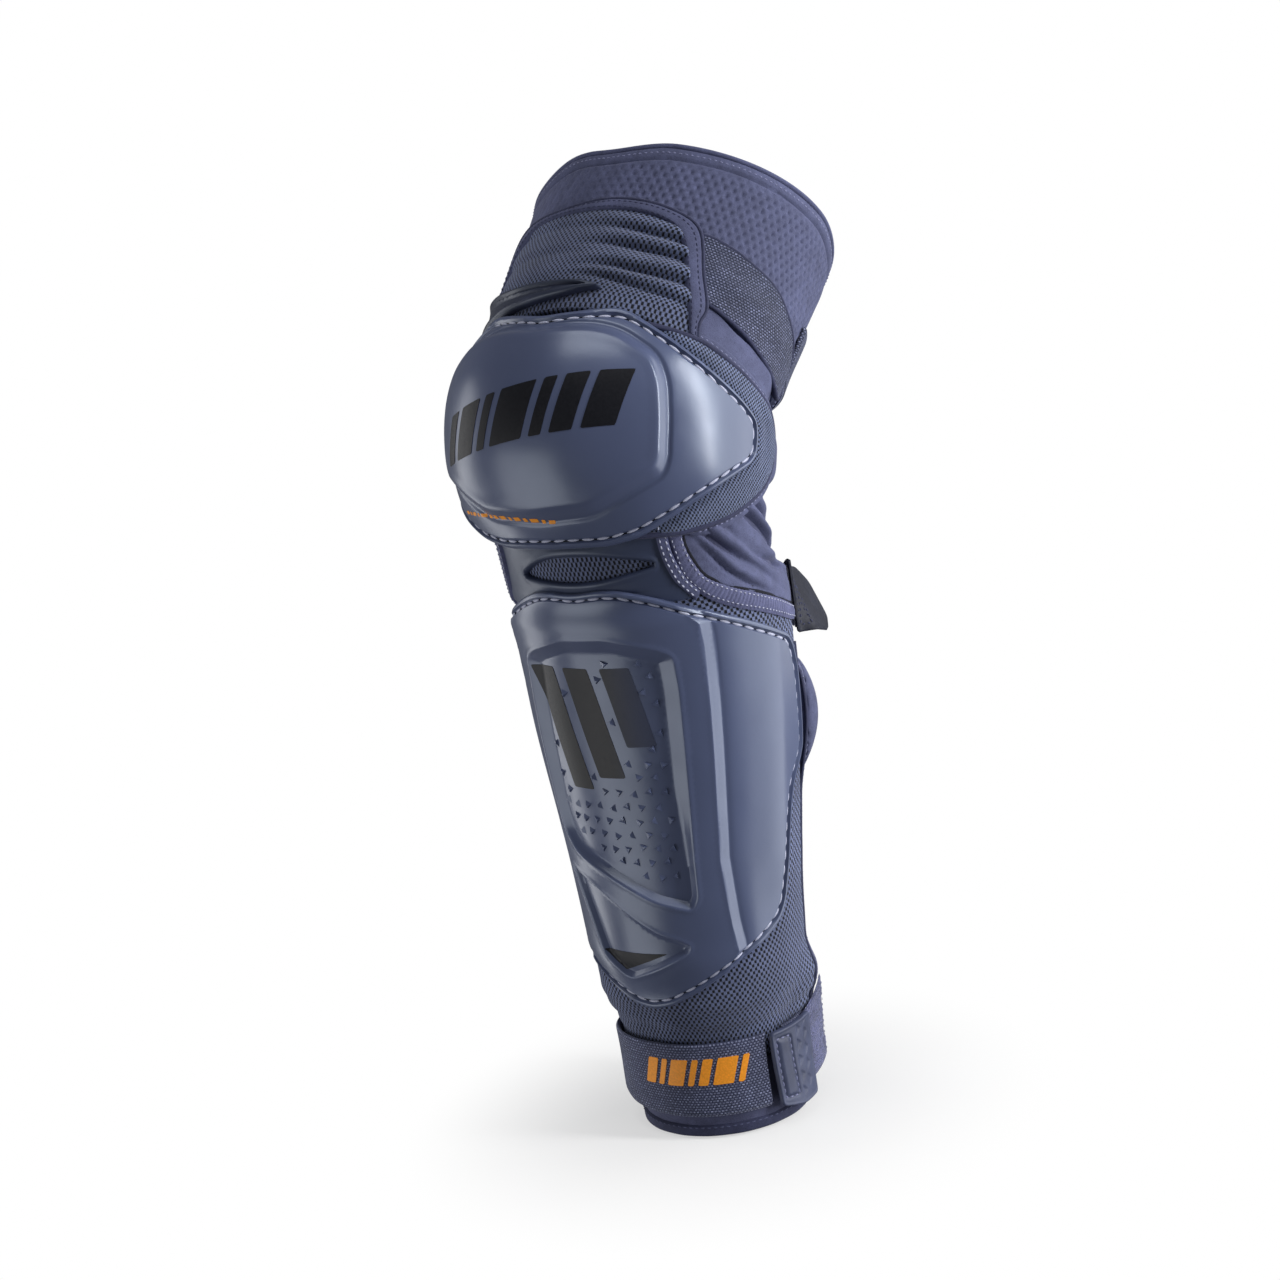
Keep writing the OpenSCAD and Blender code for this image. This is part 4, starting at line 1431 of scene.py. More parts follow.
def bar_slant(run):
    """Degrees by which the bars are moved round at a run."""
    return 3.5 + (run - 232) * -0.16


def on_bar(run, arc, margin=2.2):
    across = arc - bar_slant(run)
    return any(-0.04 < (run - foot) / (BAR_HEAD - foot) < 1.04
               and left - margin < across < left + BAR_WIDTH + margin
               for foot, left in SHIN_BARS)


def stud(run, arc, heading):
    """Vertices and faces of one raised three-sided wedge."""
    base = float(shell_top(np.array([run]), np.array([arc]))[0])
    points = []
    # radius, rise and shift along the heading of the foot and of the top
    for radius, rise, shift in ((2.95, -0.2, 0.0), (0.8, 1.3, 1.1)):
        for i in range(3):
            turn = math.radians(heading + 120 * i)
            up = radius * math.cos(turn) + shift * math.cos(math.radians(heading))
            across = radius * math.sin(turn) + shift * math.sin(math.radians(heading))
            points.append(point(run + up, arc + math.degrees(across / SHIN.radius),
                                base + rise))
    points = np.array(points)
    faces = [(3, 4, 5), (0, 1, 4, 3), (1, 2, 5, 4), (2, 0, 3, 5)]
    normal = np.cross(points[4] - points[3], points[5] - points[3])
    if normal @ outward(run, arc) <= 0:
        faces = [face[::-1] for face in faces]
    return points, faces


def shin_studs():
    """Small wedges scattered over the floor of the recess, clear of its wall and the bars."""
    all_points, all_faces = [], []
    for j, row in enumerate(np.arange(150, 276, 7.8)):
        for column in np.arange(-36, 36, 7.6):
            run = row + RANDOM.normal(0, 0.5)
            arc = column + (3.5 if j % 2 else 0) + RANDOM.normal(0, 0.4)
            depth = float(SHIN.depth(np.array([run]), np.array([arc]), RECESS)[0])
            if depth < 8.0 or on_bar(run, arc):
                continue
            heading = RANDOM.choice([0, 60, 180, 240]) + 20 + RANDOM.normal(0, 5)
            points, faces = stud(run, arc, heading)
            start = len(all_points) * 6
            all_points.append(points)
            all_faces += [tuple(start + v for v in face) for face in faces]
    put(mesh_from("shin_studs", "shell", np.vstack(all_points), all_faces, smooth=False),
        "shin", "shell")


shin_studs()

# ---------------------------------------------------------------------------
# Knee cup and its surround
# ---------------------------------------------------------------------------
KNEE_RADIUS = 88.0
KNEE = Plane(KNEE_RADIUS, 1.55)
KNEE_EVEN = Plane(KNEE_RADIUS)
CUP = KNEE.polygon(mirror_outline([
    (322.5, 0), (322.7, 22), (325, 34), (331, 46.5), (340, 62), (350.5, 79), (355, 82.8),
    (362, 83.6), (369.5, 82.3), (374, 74), (387, 43.5), (391.5, 32), (392.6, 26), (390.5, 13),
    (388.5, 0)]), 1.2, 6.0)
# The raised front panel of the cup
PANEL = KNEE.polygon(mirror_outline([
    (332, 0), (333.5, 20), (339, 32), (344.5, 42.5), (349, 44.5), (360, 45), (371, 44),
    (378.5, 40.5), (384, 28.5), (385, 20), (383.5, 0)]), 1.1, 6.0)
SURROUND = KNEE.smooth(mirror_outline([
    (326, 0), (325.3, 43.2), (325.9, 52.4), (331, 71.9), (341.2, 89.5), (354, 102.3),
    (362, 104.4), (369.7, 102.8), (378.4, 94.8), (383.2, 84.3), (389.9, 58), (390.3, 52.3),
    (390, 30), (389, 0)]), 1.3)


def cup_top(run, arc, inset=None):
    """Rise of the cup; without inset, its face carried on past the rim."""
    dome = (12.0 * np.maximum(0, 1 - (np.abs(arc) / 85) ** 2.6)
            * np.maximum(0, 1 - (np.abs(run - 356) / 34) ** 2.6))
    panel = KNEE.depth(run, arc, PANEL)
    u = np.clip((panel + 0.6) / 4.2, 0, 1)
    rise = (17.2 + dome + 3.6 * (0.75 * u + 0.25 * u * u * (3 - 2 * u))
            - 1.1 * bump(panel, -2.0, 1.9) - 0.35 * ease(panel, 5.0, 8.0))
    if inset is not None:
        # raised rim and the sewing channel inside it
        rise = rise + 0.8 * (1 - ease(inset, 2.7, 3.3)) - 1.5 * bump(inset, 4.3, 1.2)
        rise = round_rim(rise, 15.2, inset, 1.8)
    return rise


def surround_top(run, arc, inset):
    from_cup = -KNEE.depth(run, arc, CUP)
    rise = 13.2 + 2.3 * ease(from_cup, 0.3, 5) - 0.5 * bump(from_cup, 12, 5)
    return round_rim(rise - 1.6 * (1 - ease(inset, 0, 5.5)), 11.9, inset, 1.0)


put(patch("knee_cup_body", "shell", KNEE, CUP, cup_top, 14.5, 2.0,
          rings=(0.4, 0.9, 1.4, 1.9, 2.7, 3.3, 3.7, 4.3, 4.9, 5.5, 6.3),
          lines=[(PANEL, True, (-4.4, -3.6, -2.8, -2.0, -1.3, -0.6, 0.3, 1.2, 2.2, 3.4, 4.4,
                                5.8, 7.4))]), "knee", "shell", "knee_cup")
sewn_edge("knee_cup", "knee", KNEE, CUP, 4.3, cup_top)
put(patch("knee_surround_mesh", "mesh_knee", KNEE, SURROUND, surround_top, 11.6, 2.4),
    "knee", "mesh", "knee_mesh_surround")
put(cord("surround_edge", "binding", KNEE.path(SURROUND, 13.0), 1.5, 1.25),
    "knee", "binding", "knee_surround_binding")

surround_arc = KNEE.unroll(SURROUND)[1]
for side, side_name in SIDES:
    line = SURROUND[surround_arc * side > 51]
    put(ribbon(f"surround_band_{side_name}", "jersey", KNEE, line, -0.6, -6.0,
               lambda run, arc: 13.3 - 0.0012 * (run - 356) ** 2, 11.0, taper=16),
        "knee", "neoprene")
    sewing = resample(offset_line(line, -2.2, False), 0.9, False)[6:-6]
    put(stitches(f"surround_stitches_{side_name}", "thread_dark",
                 [KNEE.path(sewing, 13.2, False)], (1.7, 1.4, 0.28)), "knee", "binding")

put(wrap_sheet("knee_core", "foam", KNEE_RADIUS, (-74, 74),
               (lambda arc: 330 + 6 * ease(np.abs(arc), 50, 66), 385), (60, 40), 10.5, 2.0, edge=4),
    "knee", "foam", "knee_foam")

# run, degrees from the middle of the pad
KNEE_PAD = [(343, 0), (348, -9), (359, -12), (371, -9), (377, 0), (371, 9), (359, 12), (348, 9)]
knee_pads = []
for pad_name, middle in (("a", 107), ("b", -107)):
    outline = KNEE_EVEN.smooth([(run, middle + arc) for run, arc in KNEE_PAD], 1.6)
    knee_pads.append(puff(f"knee_pad_{pad_name}", KNEE_EVEN, outline, 4.0, 9.5,
                          grid=2.2, cap=2.2, reach=11.0))
for pad in knee_pads:
    put(pad, "knee", "neoprene", "knee_side_pads")

# ---------------------------------------------------------------------------
# Stretch bridge from shin to knee, with a lens-shaped opening
# ---------------------------------------------------------------------------
BRIDGE = Plane(75.0)
BRIDGE_OUTLINE = BRIDGE.smooth([
    (298.5, -48), (308, -44), (318, -41), (329.5, -42), (328, -20), (327.5, 0), (328, 20),
    (329.5, 42), (318, 41), (308, 44), (298.5, 47.5), (300, 20), (300, 0), (300, -20)], 1.2)
LENS = BRIDGE.smooth([
    (313.4, -24), (311.2, -10), (310.8, 8), (312.6, 24), (315.4, 36.5), (318.0, 24),
    (319.4, 8), (318.8, -8), (316.4, -18)], 1.0)
BRIDGE_SIDE = [(330.5, 42.5), (324, 41.5), (317, 42.2), (309, 45), (302, 48.5), (298, 51)]


def bridge_top(run, arc, inset):
    base = 11.2 + 0.5 * (1 - ease(run, 302, 308))
    lens_rim = 0.7 * bump(-BRIDGE.depth(run, arc, LENS), 1.2, 1.7)
    # one shallow curved groove above the opening and one below
    upper = (-0.9 * bump(run - (323.2 + 0.0012 * arc * arc), 0, 1.6)
             * ease(34 - np.abs(arc - 4), 0, 8))
    lower = (-0.8 * bump(run - (305.3 - 0.0008 * arc * arc), 0, 1.5)
             * ease(30 - np.abs(arc - 4), 0, 8))
    return round_rim(base + lens_rim + upper + lower, 9.6, inset, 1.2)


put(patch("bridge_body", "tpu", BRIDGE, BRIDGE_OUTLINE, bridge_top, 8.8, 1.5,
          rings=(0.4, 0.8, 1.2, 2.0),
          lines=[(LENS, True, (-0.35, -0.75, -1.2, -1.8, -2.5, -3.3))], holes=[LENS]),
    SHIN_KNEE, "soft_tpu", "bridge_shell")
for side, side_name in SIDES:
    line = BRIDGE.smooth(on_side(BRIDGE_SIDE, side), 1.0, False)[::side]
    put(ribbon(f"bridge_side_{side_name}", "tape", BRIDGE, line, -3.0, 3.0, 12.9, 9.4, taper=2),
        SHIN_KNEE, "binding")
    rows = [resample(offset_line(line, offset, False), 0.8, False)[3:-3]
            for offset in (-1.6, 1.5)]
    put(stitches(f"bridge_side_stitches_{side_name}", "thread",
                 [BRIDGE.path(row, 12.95, False) for row in rows], (2.0, 1.2, 0.34)),
        SHIN_KNEE, "binding")
put(wrap_sheet("bridge_net", "mesh", 75, (-29, 41), (308.6, 321.6), (70, 14), 8.3, 6.6),
    SHIN_KNEE, "mesh", "bridge_mesh")

# ---------------------------------------------------------------------------
# Gussets beside the bridge: a ribbed band and folded side cloth
# ---------------------------------------------------------------------------
BAND_LOW = [(331, 43.0), (325, 43.5), (318, 44.5), (311, 45.5), (303.5, 49), (296, 54.5),
            (289, 64), (282, 79), (276, 92), (270.5, 103), (267.5, 110.6)]
BAND_HIGH = [(332.5, 51), (327, 50), (321, 50), (315, 52), (308, 56), (300, 66), (291, 83),
             (285, 95), (278.8, 106), (276.5, 110.6)]
GUSSET_CLOTH = [(321, 43), (313, 49), (306, 56), (298, 67), (289.5, 84), (283, 98), (277, 109),
                (283, 113), (297, 113), (315, 113.5), (330, 113.5), (344, 113), (351, 108),
                (346, 99), (340, 90), (331, 74), (325.5, 56), (324, 46)]
# place across the folds, depth, width, phase
GUSSET_FOLDS = ((364.5, 2.0, 1.8, 0.3), (374.0, 3.3, 1.7, 1.2), (384.0, 2.6, 1.5, 2.9),
                (397.5, 3.4, 1.9, 4.1), (411.0, 2.6, 1.7, 5.2))


def gusset_band(name, side, node):
    low, high = (respace(BRIDGE.smooth(on_side(table, side), 1.0, False), 240)
                 for table in (BAND_LOW, BAND_HIGH))
    share = np.linspace(0, 1, 16)
    run, arc = BRIDGE.unroll(low + (high - low) * share[:, None, None])
    ribs = np.sin(np.pi * travel((low + high) / 2) / 2.5) ** 2
    body = np.sin(np.pi * np.clip(share, 0.02, 0.98)) ** 0.45
    fade = np.clip(np.sin(np.pi * share), 0, 1)[:, None] ** 0.6
    rise = 10.7 + 1.6 * body[:, None] + 0.4 * (ribs - 0.4) * fade
    run, arc, rise = (values[:, ::side] for values in (run, arc, rise))
    put(sheet(f"{name}_band", "band", BRIDGE, run, arc, rise, 9.6), SHIN_KNEE, "neoprene", node)
    rows = [BRIDGE.path(resample(low + (high - low) * row, 0.8, False), 12.3, False)
            for row in (0.2, 0.8)]
    put(stitches(f"{name}_stitches", "thread", rows, (1.5, 1.5, 0.24)), SHIN_KNEE, "binding")
    # dark cord along the band's upper seam: painted shade in the fold
    put(cord(f"{name}_seam", "seam", BRIDGE.path(resample(high, 1.0, False), 10.9, False),
             1.1, 0.7), SHIN_KNEE, "binding")


def gusset_cloth(name, side, node):
    put(wrap_sheet(f"{name}_under", "jersey_dark", 75, (37, 114) if side > 0 else (-114, -37),
                   (293, 331), (70, 30),
                   lambda run, arc: 9.3 - 4.2 * ease(from_front(arc), 92, 113),
                   lambda run, arc: 7.9 - 5.4 * ease(from_front(arc), 88, 112)),
        SHIN_KNEE, "neoprene")

    def top(run, arc, inset):
        arc = arc * side
        base = (10.4 + 1.2 * bump(arc, 76, 34)
                - 5.0 * ease(arc, 92, 113) * ease(run, 296.5, 306)
                + 1.0 * (1 - ease(run, 296, 304)) * ease(arc, 86, 98))
        x = np.radians(arc) * BRIDGE.radius
        across = run + 0.64 * x + 1.6 * np.sin(x * 0.07)
        folds = 0.0
        for place, depth, width, phase in GUSSET_FOLDS:
            deep = depth * (0.62 + 0.38 * np.sin(x * 0.085 + phase))
            valley = place + 1.8 * np.sin(x * 0.11 + phase * 2)
            folds = (folds - deep * np.exp(-((across - valley) / width) ** 2)
                     + 0.8 * deep * bump(across, valley + 5.2, 5.0))
        folds = folds + 0.5 * np.sin(run * 0.5 + x * 0.13) * np.sin(x * 0.21)
        # the folds die out towards the front, the back and the lower edge
        folds = folds * ease(arc, 47, 62) * (1 - 0.35 * ease(arc, 98, 113)) * ease(run, 283, 292)
        folds = folds * (1 - 0.85 * (1 - ease(run, 294, 302)) * ease(arc, 84, 96))
        return base - 1.0 + (1.0 + folds) * rounded(inset, 1.0)

    put(patch(f"{name}_cloth", "jersey", BRIDGE, BRIDGE.smooth(on_side(GUSSET_CLOTH, side), 1.4),
              top, lambda run, arc, inset: 7.4 - 5.0 * ease(arc * side, 88, 112), 1.3),
        SHIN_KNEE, "neoprene", node)


for side, side_name in SIDES:
    for build in (gusset_band, gusset_cloth):
        build(f"gusset_{side_name}", side, f"knee_gusset_{side_name}")


# ---------------------------------------------------------------------------
# Lining and back panel, in two halves about the joint axis
# ---------------------------------------------------------------------------
def cuff_foot(arc):
    """Lower edge of the thigh cuff, higher across the front."""
    return 400 + 9 * (1 - ease(from_front(arc), 52, 84))


def back_rise(run, arc):
    pleats = (0.7 * np.sin(run * 2 * np.pi / 8.5 + 0.4 * np.sin(np.radians(arc) * 3))
              * bump(arc, 180, 72))
    return 3.9 + pleats + wave(run, arc, 0.15, 5, 9, 0.1)


LOWER_HALF, UPPER_FOOT = (300.6, 354.0), 353.0
BACK_ARCS = (105, 255)
put(wrap_sheet("lining_low", "lining", 68, FULL_TURN, LOWER_HALF, (140, 20), 1.1,
               lambda run, arc: wave(run, arc, 0.15)), SHIN_KNEE, "neoprene", "knee_lining")
put(wrap_sheet("lining_high", "lining", 68, FULL_TURN,
               (UPPER_FOOT, lambda arc: cuff_foot(arc) + 0.2), (140, 20), 1.0,
               lambda run, arc: wave(run, arc, 0.15)), JOINT_TURN, "neoprene", "knee_lining")
put(wrap_sheet("back_low", "mesh_knee", 68, BACK_ARCS, (300.8, 354.2), (130, 52), back_rise, 1.6),
    SHIN_KNEE, "mesh", "knee_back_panel")
put(wrap_sheet("back_high", "mesh_knee", 68, BACK_ARCS, (UPPER_FOOT, 400.4), (130, 46),
               back_rise, 1.6), JOINT_TURN, "mesh", "knee_back_panel")

SIDE_CLOTH = [(384, 50), (380, 70), (374, 88), (362, 98), (350, 100), (348, 108), (356, 113),
              (372, 114), (388, 114), (401, 113), (402, 96), (401.5, 84), (403, 70), (408, 58),
              (409, 46), (407, 32), (398, 27), (387, 32)]


def side_cloth(side, side_name):
    """Cloth between the knee surround and the thigh cuff."""
    def top(run, arc, inset):
        arc = arc * side
        base = (9.4 - 4.6 * ease(arc, 92, 113) - 1.2 * ease(run, 392, 402)
                - 1.1 * (1 - ease(arc, 46, 56)) * (1 - ease(run, 392, 402)))
        base = np.where(arc < 54, np.minimum(base, 7.9 + 1.5 * ease(arc, 48, 54)), base)
        folds = (0.9 * np.sin((run - 370) * 0.33 + arc * 0.05) * ease(arc, 80, 96)
                 * (1 - ease(arc, 106, 114)))
        return base - 1.0 + (1.0 + folds) * rounded(inset, 1.0)

    put(patch(f"side_cloth_{side_name}", "jersey", KNEE_EVEN,
              KNEE_EVEN.smooth(on_side(SIDE_CLOTH, side), 1.5), top,
              lambda run, arc, inset: 6.8 - 4.9 * ease(arc * side, 90, 112), 2.2),
        LONG_TURN, "neoprene")


for side, side_name in SIDES:
    side_cloth(side, side_name)

# ---------------------------------------------------------------------------
# Thigh cuff
# ---------------------------------------------------------------------------
THIGH = Plane(76)
# Dimples are about 4.6 mm apart at a radius of 70 mm, in a whole number round the leg
DIMPLES = 2 * np.pi * 70 / 4.6 // 1


def cuff_top(arc):
    """Upper edge of the cuff: lower at the back and on the inner side."""
    away, turn = from_front(arc), signed(arc)
    return (489.5 + 3.5 * ease(away, 0, 25) * (1 - ease(away, 90, 120))
            - 10 * ease(away, 110, 180) - 8.5 * ease(-turn, 8, 46) * (1 - ease(-turn, 70, 120)))


def cuff_rise(run, arc):
    turn = signed(arc)
    below = cuff_top(arc) - run
    dimple = np.cos(DIMPLES * np.radians(arc)) * np.cos(2 * np.pi * run / 8.2)
    strength = np.maximum(ease(turn, -30, 22), ease(-turn, 64, 100)) * 0.82 + 0.18
    rise = 7.9 - 1.05 * ease(dimple, 0.05, 0.95) * strength * ease(below, 8.0, 11)
    # a groove and a roll run along under the upper edge
    rise = rise - 1.0 * bump(below, 7.2, 1.4) + 0.5 * bump(below, 3.6, 3.4)
    return rise + wave(run, arc, 0.3, 5, 8, 0.06) + 0.35 * np.exp(-((16 - below) / 6.0) ** 2)


put(wrap_sheet("thigh_cuff_body", "jersey", 76, FULL_TURN, (cuff_foot, cuff_top), (560, 104),
               cuff_rise, 1.9), "thigh", "neoprene", "thigh_cuff")
put(wrap_sheet("thigh_lining", "lining", 76, FULL_TURN,
               (lambda arc: cuff_foot(arc) + 0.2, lambda arc: cuff_top(arc) - 0.4), (160, 30),
               1.8, lambda run, arc: wave(run, arc, 0.2)), "thigh", "neoprene", "thigh_liner")
put(cord("thigh_piping", "tape", ring_path(lambda arc: cuff_top(arc) + 1.0, 4.5, 300),
         2.0, 4.1, sides=14), "thigh", "binding", "thigh_top_piping")
put(stitches("thigh_top_stitches", "thread_dark",
             [ring_path(lambda arc: cuff_top(arc) - 3.6, cuff_rise, 700)], (1.8, 1.3, 0.28)),
    "thigh", "neoprene")
GRIP_FOOT, GRIP_WIDTH, GRIP_PITCH = 455, 3, 9
grips = [wrap_sheet(f"grip_{i}", "silicone", 76, FULL_TURN,
                    (GRIP_FOOT + GRIP_PITCH * i, GRIP_FOOT + GRIP_WIDTH + GRIP_PITCH * i),
                    (300, 5), 0.2, lambda run, arc: -0.85 + 0.25 * np.sin(np.radians(arc) * 60))
         for i in range(3)]
put(merge("thigh_grips", "silicone", grips), "thigh", "silicone", "thigh_grip_strips")

# ---------------------------------------------------------------------------
# Mesh window at the front of the thigh, with its bound edge
# ---------------------------------------------------------------------------
TRIM_OUTER = THIGH.smooth([
    (391, 54.9), (395.8, 54.0), (403.4, 55), (423, 49), (444.8, 42.7), (449.6, 38.7),
    (452.9, 32), (455.8, 22), (456.8, 7), (453.6, -12), (452.0, -33), (446, -42), (423, -49),
    (403, -54), (391, -55)], 1.1, False)
TRIM_INNER = THIGH.smooth([
    (391.9, 51.2), (412, 45.3), (437, 37.5), (443.8, 33), (447.5, 26.6), (450.4, 13.3),
    (450.6, -1.6), (448, -28), (441, -37), (434, -39.5), (412, -45), (392, -51)], 1.1, False)
WINDOW = THIGH.smooth([
    (392, 0), (392, 30), (392.5, 52.5), (412, 47), (437, 39.5), (445.5, 34), (449.5, 27),
    (452.4, 13.3), (452.4, -1.6), (450, -28), (443, -38), (434, -41), (412, -46.5),
    (392.5, -52.5), (392, -30)], 1.4)
# run of the valley on the outer side and towards the inner side, width, depth
OUTER_FOLDS = ((436.3, 440.5, 1.9, 2.3), (426.3, 428.8, 2.2, 3.0), (413.8, 414.5, 2.2, 2.8),
               (403.2, 408.5, 1.8, 2.0))
INNER_FOLDS = ((441, 446, 2.4, 1.1), (424, 430, 2.6, 1.0))


def window_top(run, arc, inset):
    rise = 10.9 + 1.3 * bump(run, 424, 34) + 0.25 * np.sin(run * 0.4 + arc * 0.05)
    for outer, inner, width, depth in OUTER_FOLDS:
        across = run - (outer + (inner - outer) * (40 - arc) / 34 + 0.6 * np.sin(arc * 0.16))
        deep = depth * ease(arc, -8, 24) * (1 - 0.3 * ease(arc, 40, 50))
        rise = rise - deep * np.exp(-(across / width) ** 2) + 0.85 * deep * bump(across, 5.0, 5.0)
    for outer, inner, width, depth in INNER_FOLDS:
        valley = inner + (outer - inner) * (arc + 45) / 45
        rise = rise - depth * np.exp(-((run - valley) / width) ** 2) * ease(-arc, -12, 12)
    return np.maximum(round_rim(np.maximum(rise, 8.9), 9.0, inset, 1.0), 8.8)


put(patch("thigh_mesh", "mesh", THIGH, WINDOW, window_top, 8.1, 1.5),
    KNEE_THIGH, "mesh", "thigh_mesh_panel")


def window_trim():
    """Folded tape between the two trim lines, its piping and two rows of stitches."""
    outer, inner = respace(TRIM_OUTER, 420), respace(TRIM_INNER, 420)
    share = np.linspace(0, 1, 12)
    run, arc = THIGH.unroll(inner + (outer - inner) * share[:, None, None])
    fold = np.sqrt(np.clip(1 - np.abs(2 * share - 1) ** 3.0, 0, 1))
    profile = 10.6 + (2.2 * fold - 0.35 * np.exp(-((share - 0.72) / 0.07) ** 2))
    put(sheet("thigh_trim", "jersey", THIGH, run[:, ::-1], arc[:, ::-1], profile[:, None], 8.2),
        KNEE_THIGH, "binding", "thigh_panel_trim")
    put(cord("thigh_trim_piping", "binding",
             THIGH.path(resample(outer, 1.0, False), 11.2, False), 1.15, 1.5),
        KNEE_THIGH, "binding")
    rows = [THIGH.path(resample(inner + (outer - inner) * row, 0.8, False), rise, False)
            for row, rise in ((0.16, 12.55), (0.66, 12.72))]
    put(stitches("thigh_trim_stitches", "binding", rows, (2.2, 0.9, 0.3)),
        KNEE_THIGH, "binding")


window_trim()

# ---------------------------------------------------------------------------
# Thigh elastics, strap and tab
# ---------------------------------------------------------------------------
THIGH_ELASTIC = [(414, 46), (410, 52), (407.5, 61), (404, 74), (398.5, 91), (395, 112),
                 (412, 112), (421, 105), (430, 91), (436.5, 79.5), (440.3, 65.5), (443, 56),
                 (443.6, 43), (428, 44)]


def elastic_drop(run):
    """1 at the lower edge of the side elastics, 0 above."""
    return 1 - ease(run, 407, 424)


def elastic_top(run, arc, inset):
    ripple = 1.5 + 0.25 * np.sin(run * 0.3 + arc * 0.1)
    return 9.2 + ripple * rounded(inset, 1.2) - 0.9 * elastic_drop(run)


for side, side_name in SIDES:
    outline = THIGH.smooth(on_side(THIGH_ELASTIC, side), 1.2)
    elastic_name = f"thigh_elastic_{side_name}"
    put(patch(f"{elastic_name}_web", "elastic", THIGH, outline, elastic_top,
              lambda run, arc, inset: 7.6 - 1.4 * elastic_drop(run), 2.0),
        "thigh", "elastic", elastic_name)
    put(cord(f"{elastic_name}_edge", "binding",
             THIGH.path(outline, lambda run, arc: 9.4 - 0.9 * elastic_drop(run)), 1.25, 1.5),
        "thigh", "binding")

put(wrap_sheet("thigh_strap_band", "elastic", 76, (111, 249), (404, 440), (150, 26),
               lambda run, arc: 10.6 + wave(run, arc, 0.25, 4, 9, 0.1), 7.9, edge=1.1),
    "thigh", "elastic", "thigh_strap")
put(wrap_sheet("thigh_loop", "nap", 76, (206, 242), (406, 438), (44, 24),
               lambda run, arc: 12.3 + wave(run, arc, 0.15, 11, 23, 0.4), 11.0),
    "thigh", "hook_loop", "thigh_loop_patch")
strap_tab("thigh", root=(422, 200), yaw=194, rise=14.6, size=(42, 34), hook_rise=13.4,
          hook_size=(32, 28), sewn=13)

# ---------------------------------------------------------------------------
# Dark soft fin over the top of the cup
# ---------------------------------------------------------------------------
FIN = KNEE_EVEN.smooth([
    (392.0, -60), (393.0, -46), (394.0, -28), (394.8, -10.5), (396.8, 5.7), (400.2, 16.5),
    (403.2, 9), (403.8, -6), (404.8, -22), (409.5, -40), (415.5, -60)], 0.9)


def fin_top(run, arc, inset):
    rib = 0.45 * bump(run - (399 + 0.004 * arc * arc), 0, 1.4)
    sunk = 1.9 * ease(inset, 1.9, 2.7) * (1 - rib)
    return 12.6 + (3.3 - sunk) * rounded(inset, 1.2)


put(patch("knee_fin_body", "fin", KNEE_EVEN, FIN, fin_top, 11.6, 0.95,
          rings=(0.4, 0.9, 1.4, 1.9, 2.3, 2.8)), KNEE_THIGH, "soft_tpu", "knee_fin")


# ---------------------------------------------------------------------------
# Printed shapes on the shells; widths and gaps are in degrees
# ---------------------------------------------------------------------------
def cup_bars():
    """Slanted black bars across the raised panel."""
    def foot(arc):
        return 349.9 + (arc + 22) * 0.132

    def head(arc):
        return 364.0 + (arc + 17) * 0.17

    bars = []
    left, slant, gap = -36.0, 5, 2.6
    for width in (5, 9, 3.5, 12, 4, 7, 10):
        right = left + width
        bars.append([(foot(left), left), (foot(right), right),
                     (head(right + slant), right + slant), (head(left + slant), left + slant)])
        left = right + gap
    put(decals("cup_bars", "ink_black", KNEE_EVEN, bars, cup_top, gap=1.5, step=0.9, lift=0.06),
        "knee", "shell")


def cup_dashes():
    """A thin row of orange dashes low on the cup."""
    dashes = []
    left, height, slant, gap = -40.0, 1.05, 0.2, 1.15
    for width in (3, 1.4, 2.6, 1.2, 3.4, 1.6, 2.2, 3.0, 1.2, 2.8, 1.6, 3.2, 1.4, 2.4):
        right = left + width
        foot = 329.7 + (12 - left) * 0.085
        dashes.append([(foot, left), (foot, right), (foot + height, right + slant),
                       (foot + height, left + slant)])
        left = right + gap
    put(decals("cup_dashes", "ink_orange", KNEE_EVEN, dashes, cup_top, thick=0.1, gap=1.0,
               step=0.5, lift=0.05, corner=0.1), "knee", "shell")


def shin_prints():
    """Three bars in the recess and a wedge in the V."""
    bars = [[(run, arc + bar_slant(run))
             for run, arc in ((foot, left), (foot, left + BAR_WIDTH),
                              (BAR_HEAD, left + BAR_WIDTH), (BAR_HEAD, left))]
            for foot, left in SHIN_BARS]
    put(decals("shin_bars", "ink_shin", SHIN, bars, shell_top, thick=0.14, gap=1.6, step=1.0,
               lift=0.06, corner=1.0), "shin", "shell")
    wedge = [(106.3, -25.5), (106.6, 14.0), (95.8, -12.8)]
    put(decals("shin_wedge", "ink_black", SHIN, [wedge], shell_top, thick=0.14, gap=1.5,
               step=0.9, lift=0.06, corner=0.8), "shin", "shell")


cup_bars()
cup_dashes()
shin_prints()


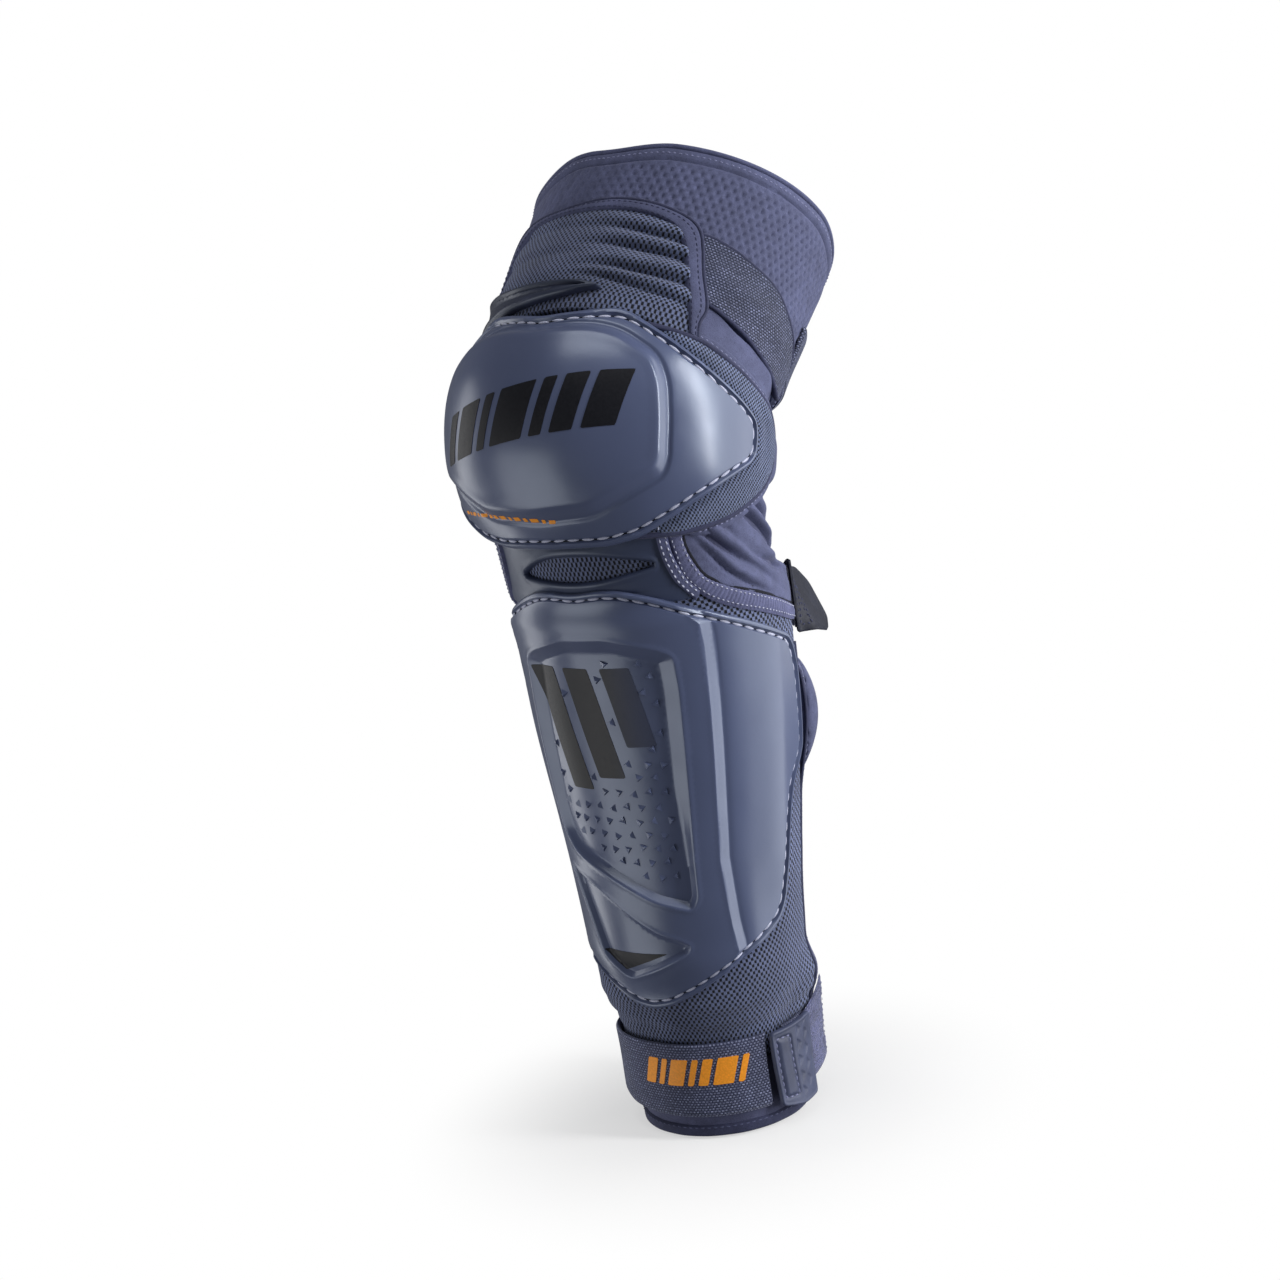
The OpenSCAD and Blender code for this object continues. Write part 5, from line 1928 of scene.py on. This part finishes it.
# ---------------------------------------------------------------------------
# Stage, light and camera
# ---------------------------------------------------------------------------
def floor_material():
    """Pale floor that fades to pure white away from the guard."""
    mat = Shader("floor_pale")
    place = mat.place()
    split = mat.new("ShaderNodeSeparateXYZ")
    mat.set(split.inputs[0], place)
    squares = [mat.math("POWER", split.outputs[i], 2.0) for i in (0, 1)]
    distance = mat.math("SQRT", mat.plus(*squares))
    far = mat.ramp(distance, span=(55.0, 190.0), to=(0.55, 1.0))
    drift = mat.ramp(mat.noise(place, scale=0.01, detail=2.0), span=(0.3, 0.7))
    mat.finish(mat.mix(drift, (0.93, 0.93, 0.93), (0.96, 0.96, 0.96)), 0.6)
    white = mat.new("ShaderNodeEmission")
    white.inputs[0].default_value = (1, 1, 1, 1)
    seen = mat.mix_shader(far, mat.surface.outputs[0], white.outputs[0])
    # the floor glows white to the camera only, so it throws no light upwards
    camera_ray = mat.new("ShaderNodeLightPath").outputs["Is Camera Ray"]
    dark = mat.new("ShaderNodeBsdfDiffuse")
    dark.inputs[0].default_value = (0.5, 0.51, 0.55, 1)
    mat.set(mat.tree.nodes["Material Output"].inputs[0],
            mat.mix_shader(camera_ray, dark.outputs[0], seen))
    return mat.material


def floor():
    half, z = 6, -0.0045
    corners = [(-half, -half, z), (half, -half, z), (half, half, z), (-half, half, z)]
    MATERIALS["floor"] = floor_material()
    ob = mesh_from("floor", "floor", corners, [(0, 1, 2, 3)], smooth=False)
    ob.visible_glossy = ob.visible_diffuse = ob.visible_shadow = False


def area(name, place, size, power):
    """Rectangular light aimed at the middle of the guard."""
    light = bpy.data.lights.new(name, "AREA")
    light.shape = "RECTANGLE"
    light.size, light.size_y = size
    light.energy = power
    ob = bpy.data.objects.new(name, light)
    COLLECTION.objects.link(ob)
    ob.location = place
    aim = Vector((0, -0.02, 0.27)) - Vector(place)
    ob.rotation_euler = aim.to_track_quat("-Z", "Y").to_euler()


def softbox(name, azimuth, distance, height, size, power):
    """Area light at an azimuth (degrees) from the front towards the outer side."""
    turn = math.radians(azimuth)
    area(name, (distance * math.sin(turn), -distance * math.cos(turn), height), size, power)


def world():
    """Dim bluish light, seen as plain white by the camera."""
    studio = bpy.data.worlds.new("studio")
    bpy.context.scene.world = studio
    studio.use_nodes = True
    nodes, links = studio.node_tree.nodes, studio.node_tree.links
    lighting = nodes["Background"]
    backdrop = nodes.new("ShaderNodeBackground")
    for node, colour, strength in ((lighting, (0.86, 0.88, 0.92, 1), 0.15),
                                   (backdrop, (1, 1, 1, 1), 1.0)):
        node.inputs[0].default_value = colour
        node.inputs[1].default_value = strength
    camera_ray = nodes.new("ShaderNodeLightPath").outputs["Is Camera Ray"]
    mix = nodes.new("ShaderNodeMixShader")
    for socket, source in zip(mix.inputs, (camera_ray, lighting.outputs[0],
                                           backdrop.outputs[0])):
        links.new(source, socket)
    links.new(mix.outputs[0], nodes["World Output"].inputs[0])


def camera():
    """Long lens from the front, outer side and a little above."""
    target, distance = Vector((0, -0.018, 0.268)), 1.4
    lens = bpy.data.cameras.new("camera")
    lens.lens = 74.29
    lens.sensor_width = 36
    lens.clip_start = 0.05
    ob = bpy.data.objects.new("camera", lens)
    COLLECTION.objects.link(ob)
    back = Vector((0.5592, -0.8007, 0.2146))
    up = Vector((0, 0.2588, 0.9659))
    back.normalize()
    right = up.cross(back).normalized()
    up = back.cross(right).normalized()
    turn = Matrix((right, up, back)).transposed()
    ob.matrix_world = Matrix.Translation(target + back * distance) @ turn.to_4x4()
    bpy.context.scene.camera = ob


floor()
softbox("rim_left", azimuth=-84, distance=1.3, height=0.1, size=(0.45, 1.5), power=4.6)
softbox("strip_key", azimuth=97, distance=1.25, height=0.68, size=(0.2, 1.3), power=18)
softbox("strip_right", azimuth=121, distance=1.4, height=0.12, size=(0.9, 1.9), power=14)
softbox("back_right", azimuth=150, distance=1.5, height=0.5, size=(0.7, 1.5), power=6)
softbox("front_fill", azimuth=-32, distance=2.0, height=-0.3, size=(1.5, 1.5), power=15)
area("overhead", (0.1, -0.35, 1.6), size=(0.8, 0.6), power=5.1)
world()
bpy.context.scene.view_settings.view_transform = "Standard"
camera()
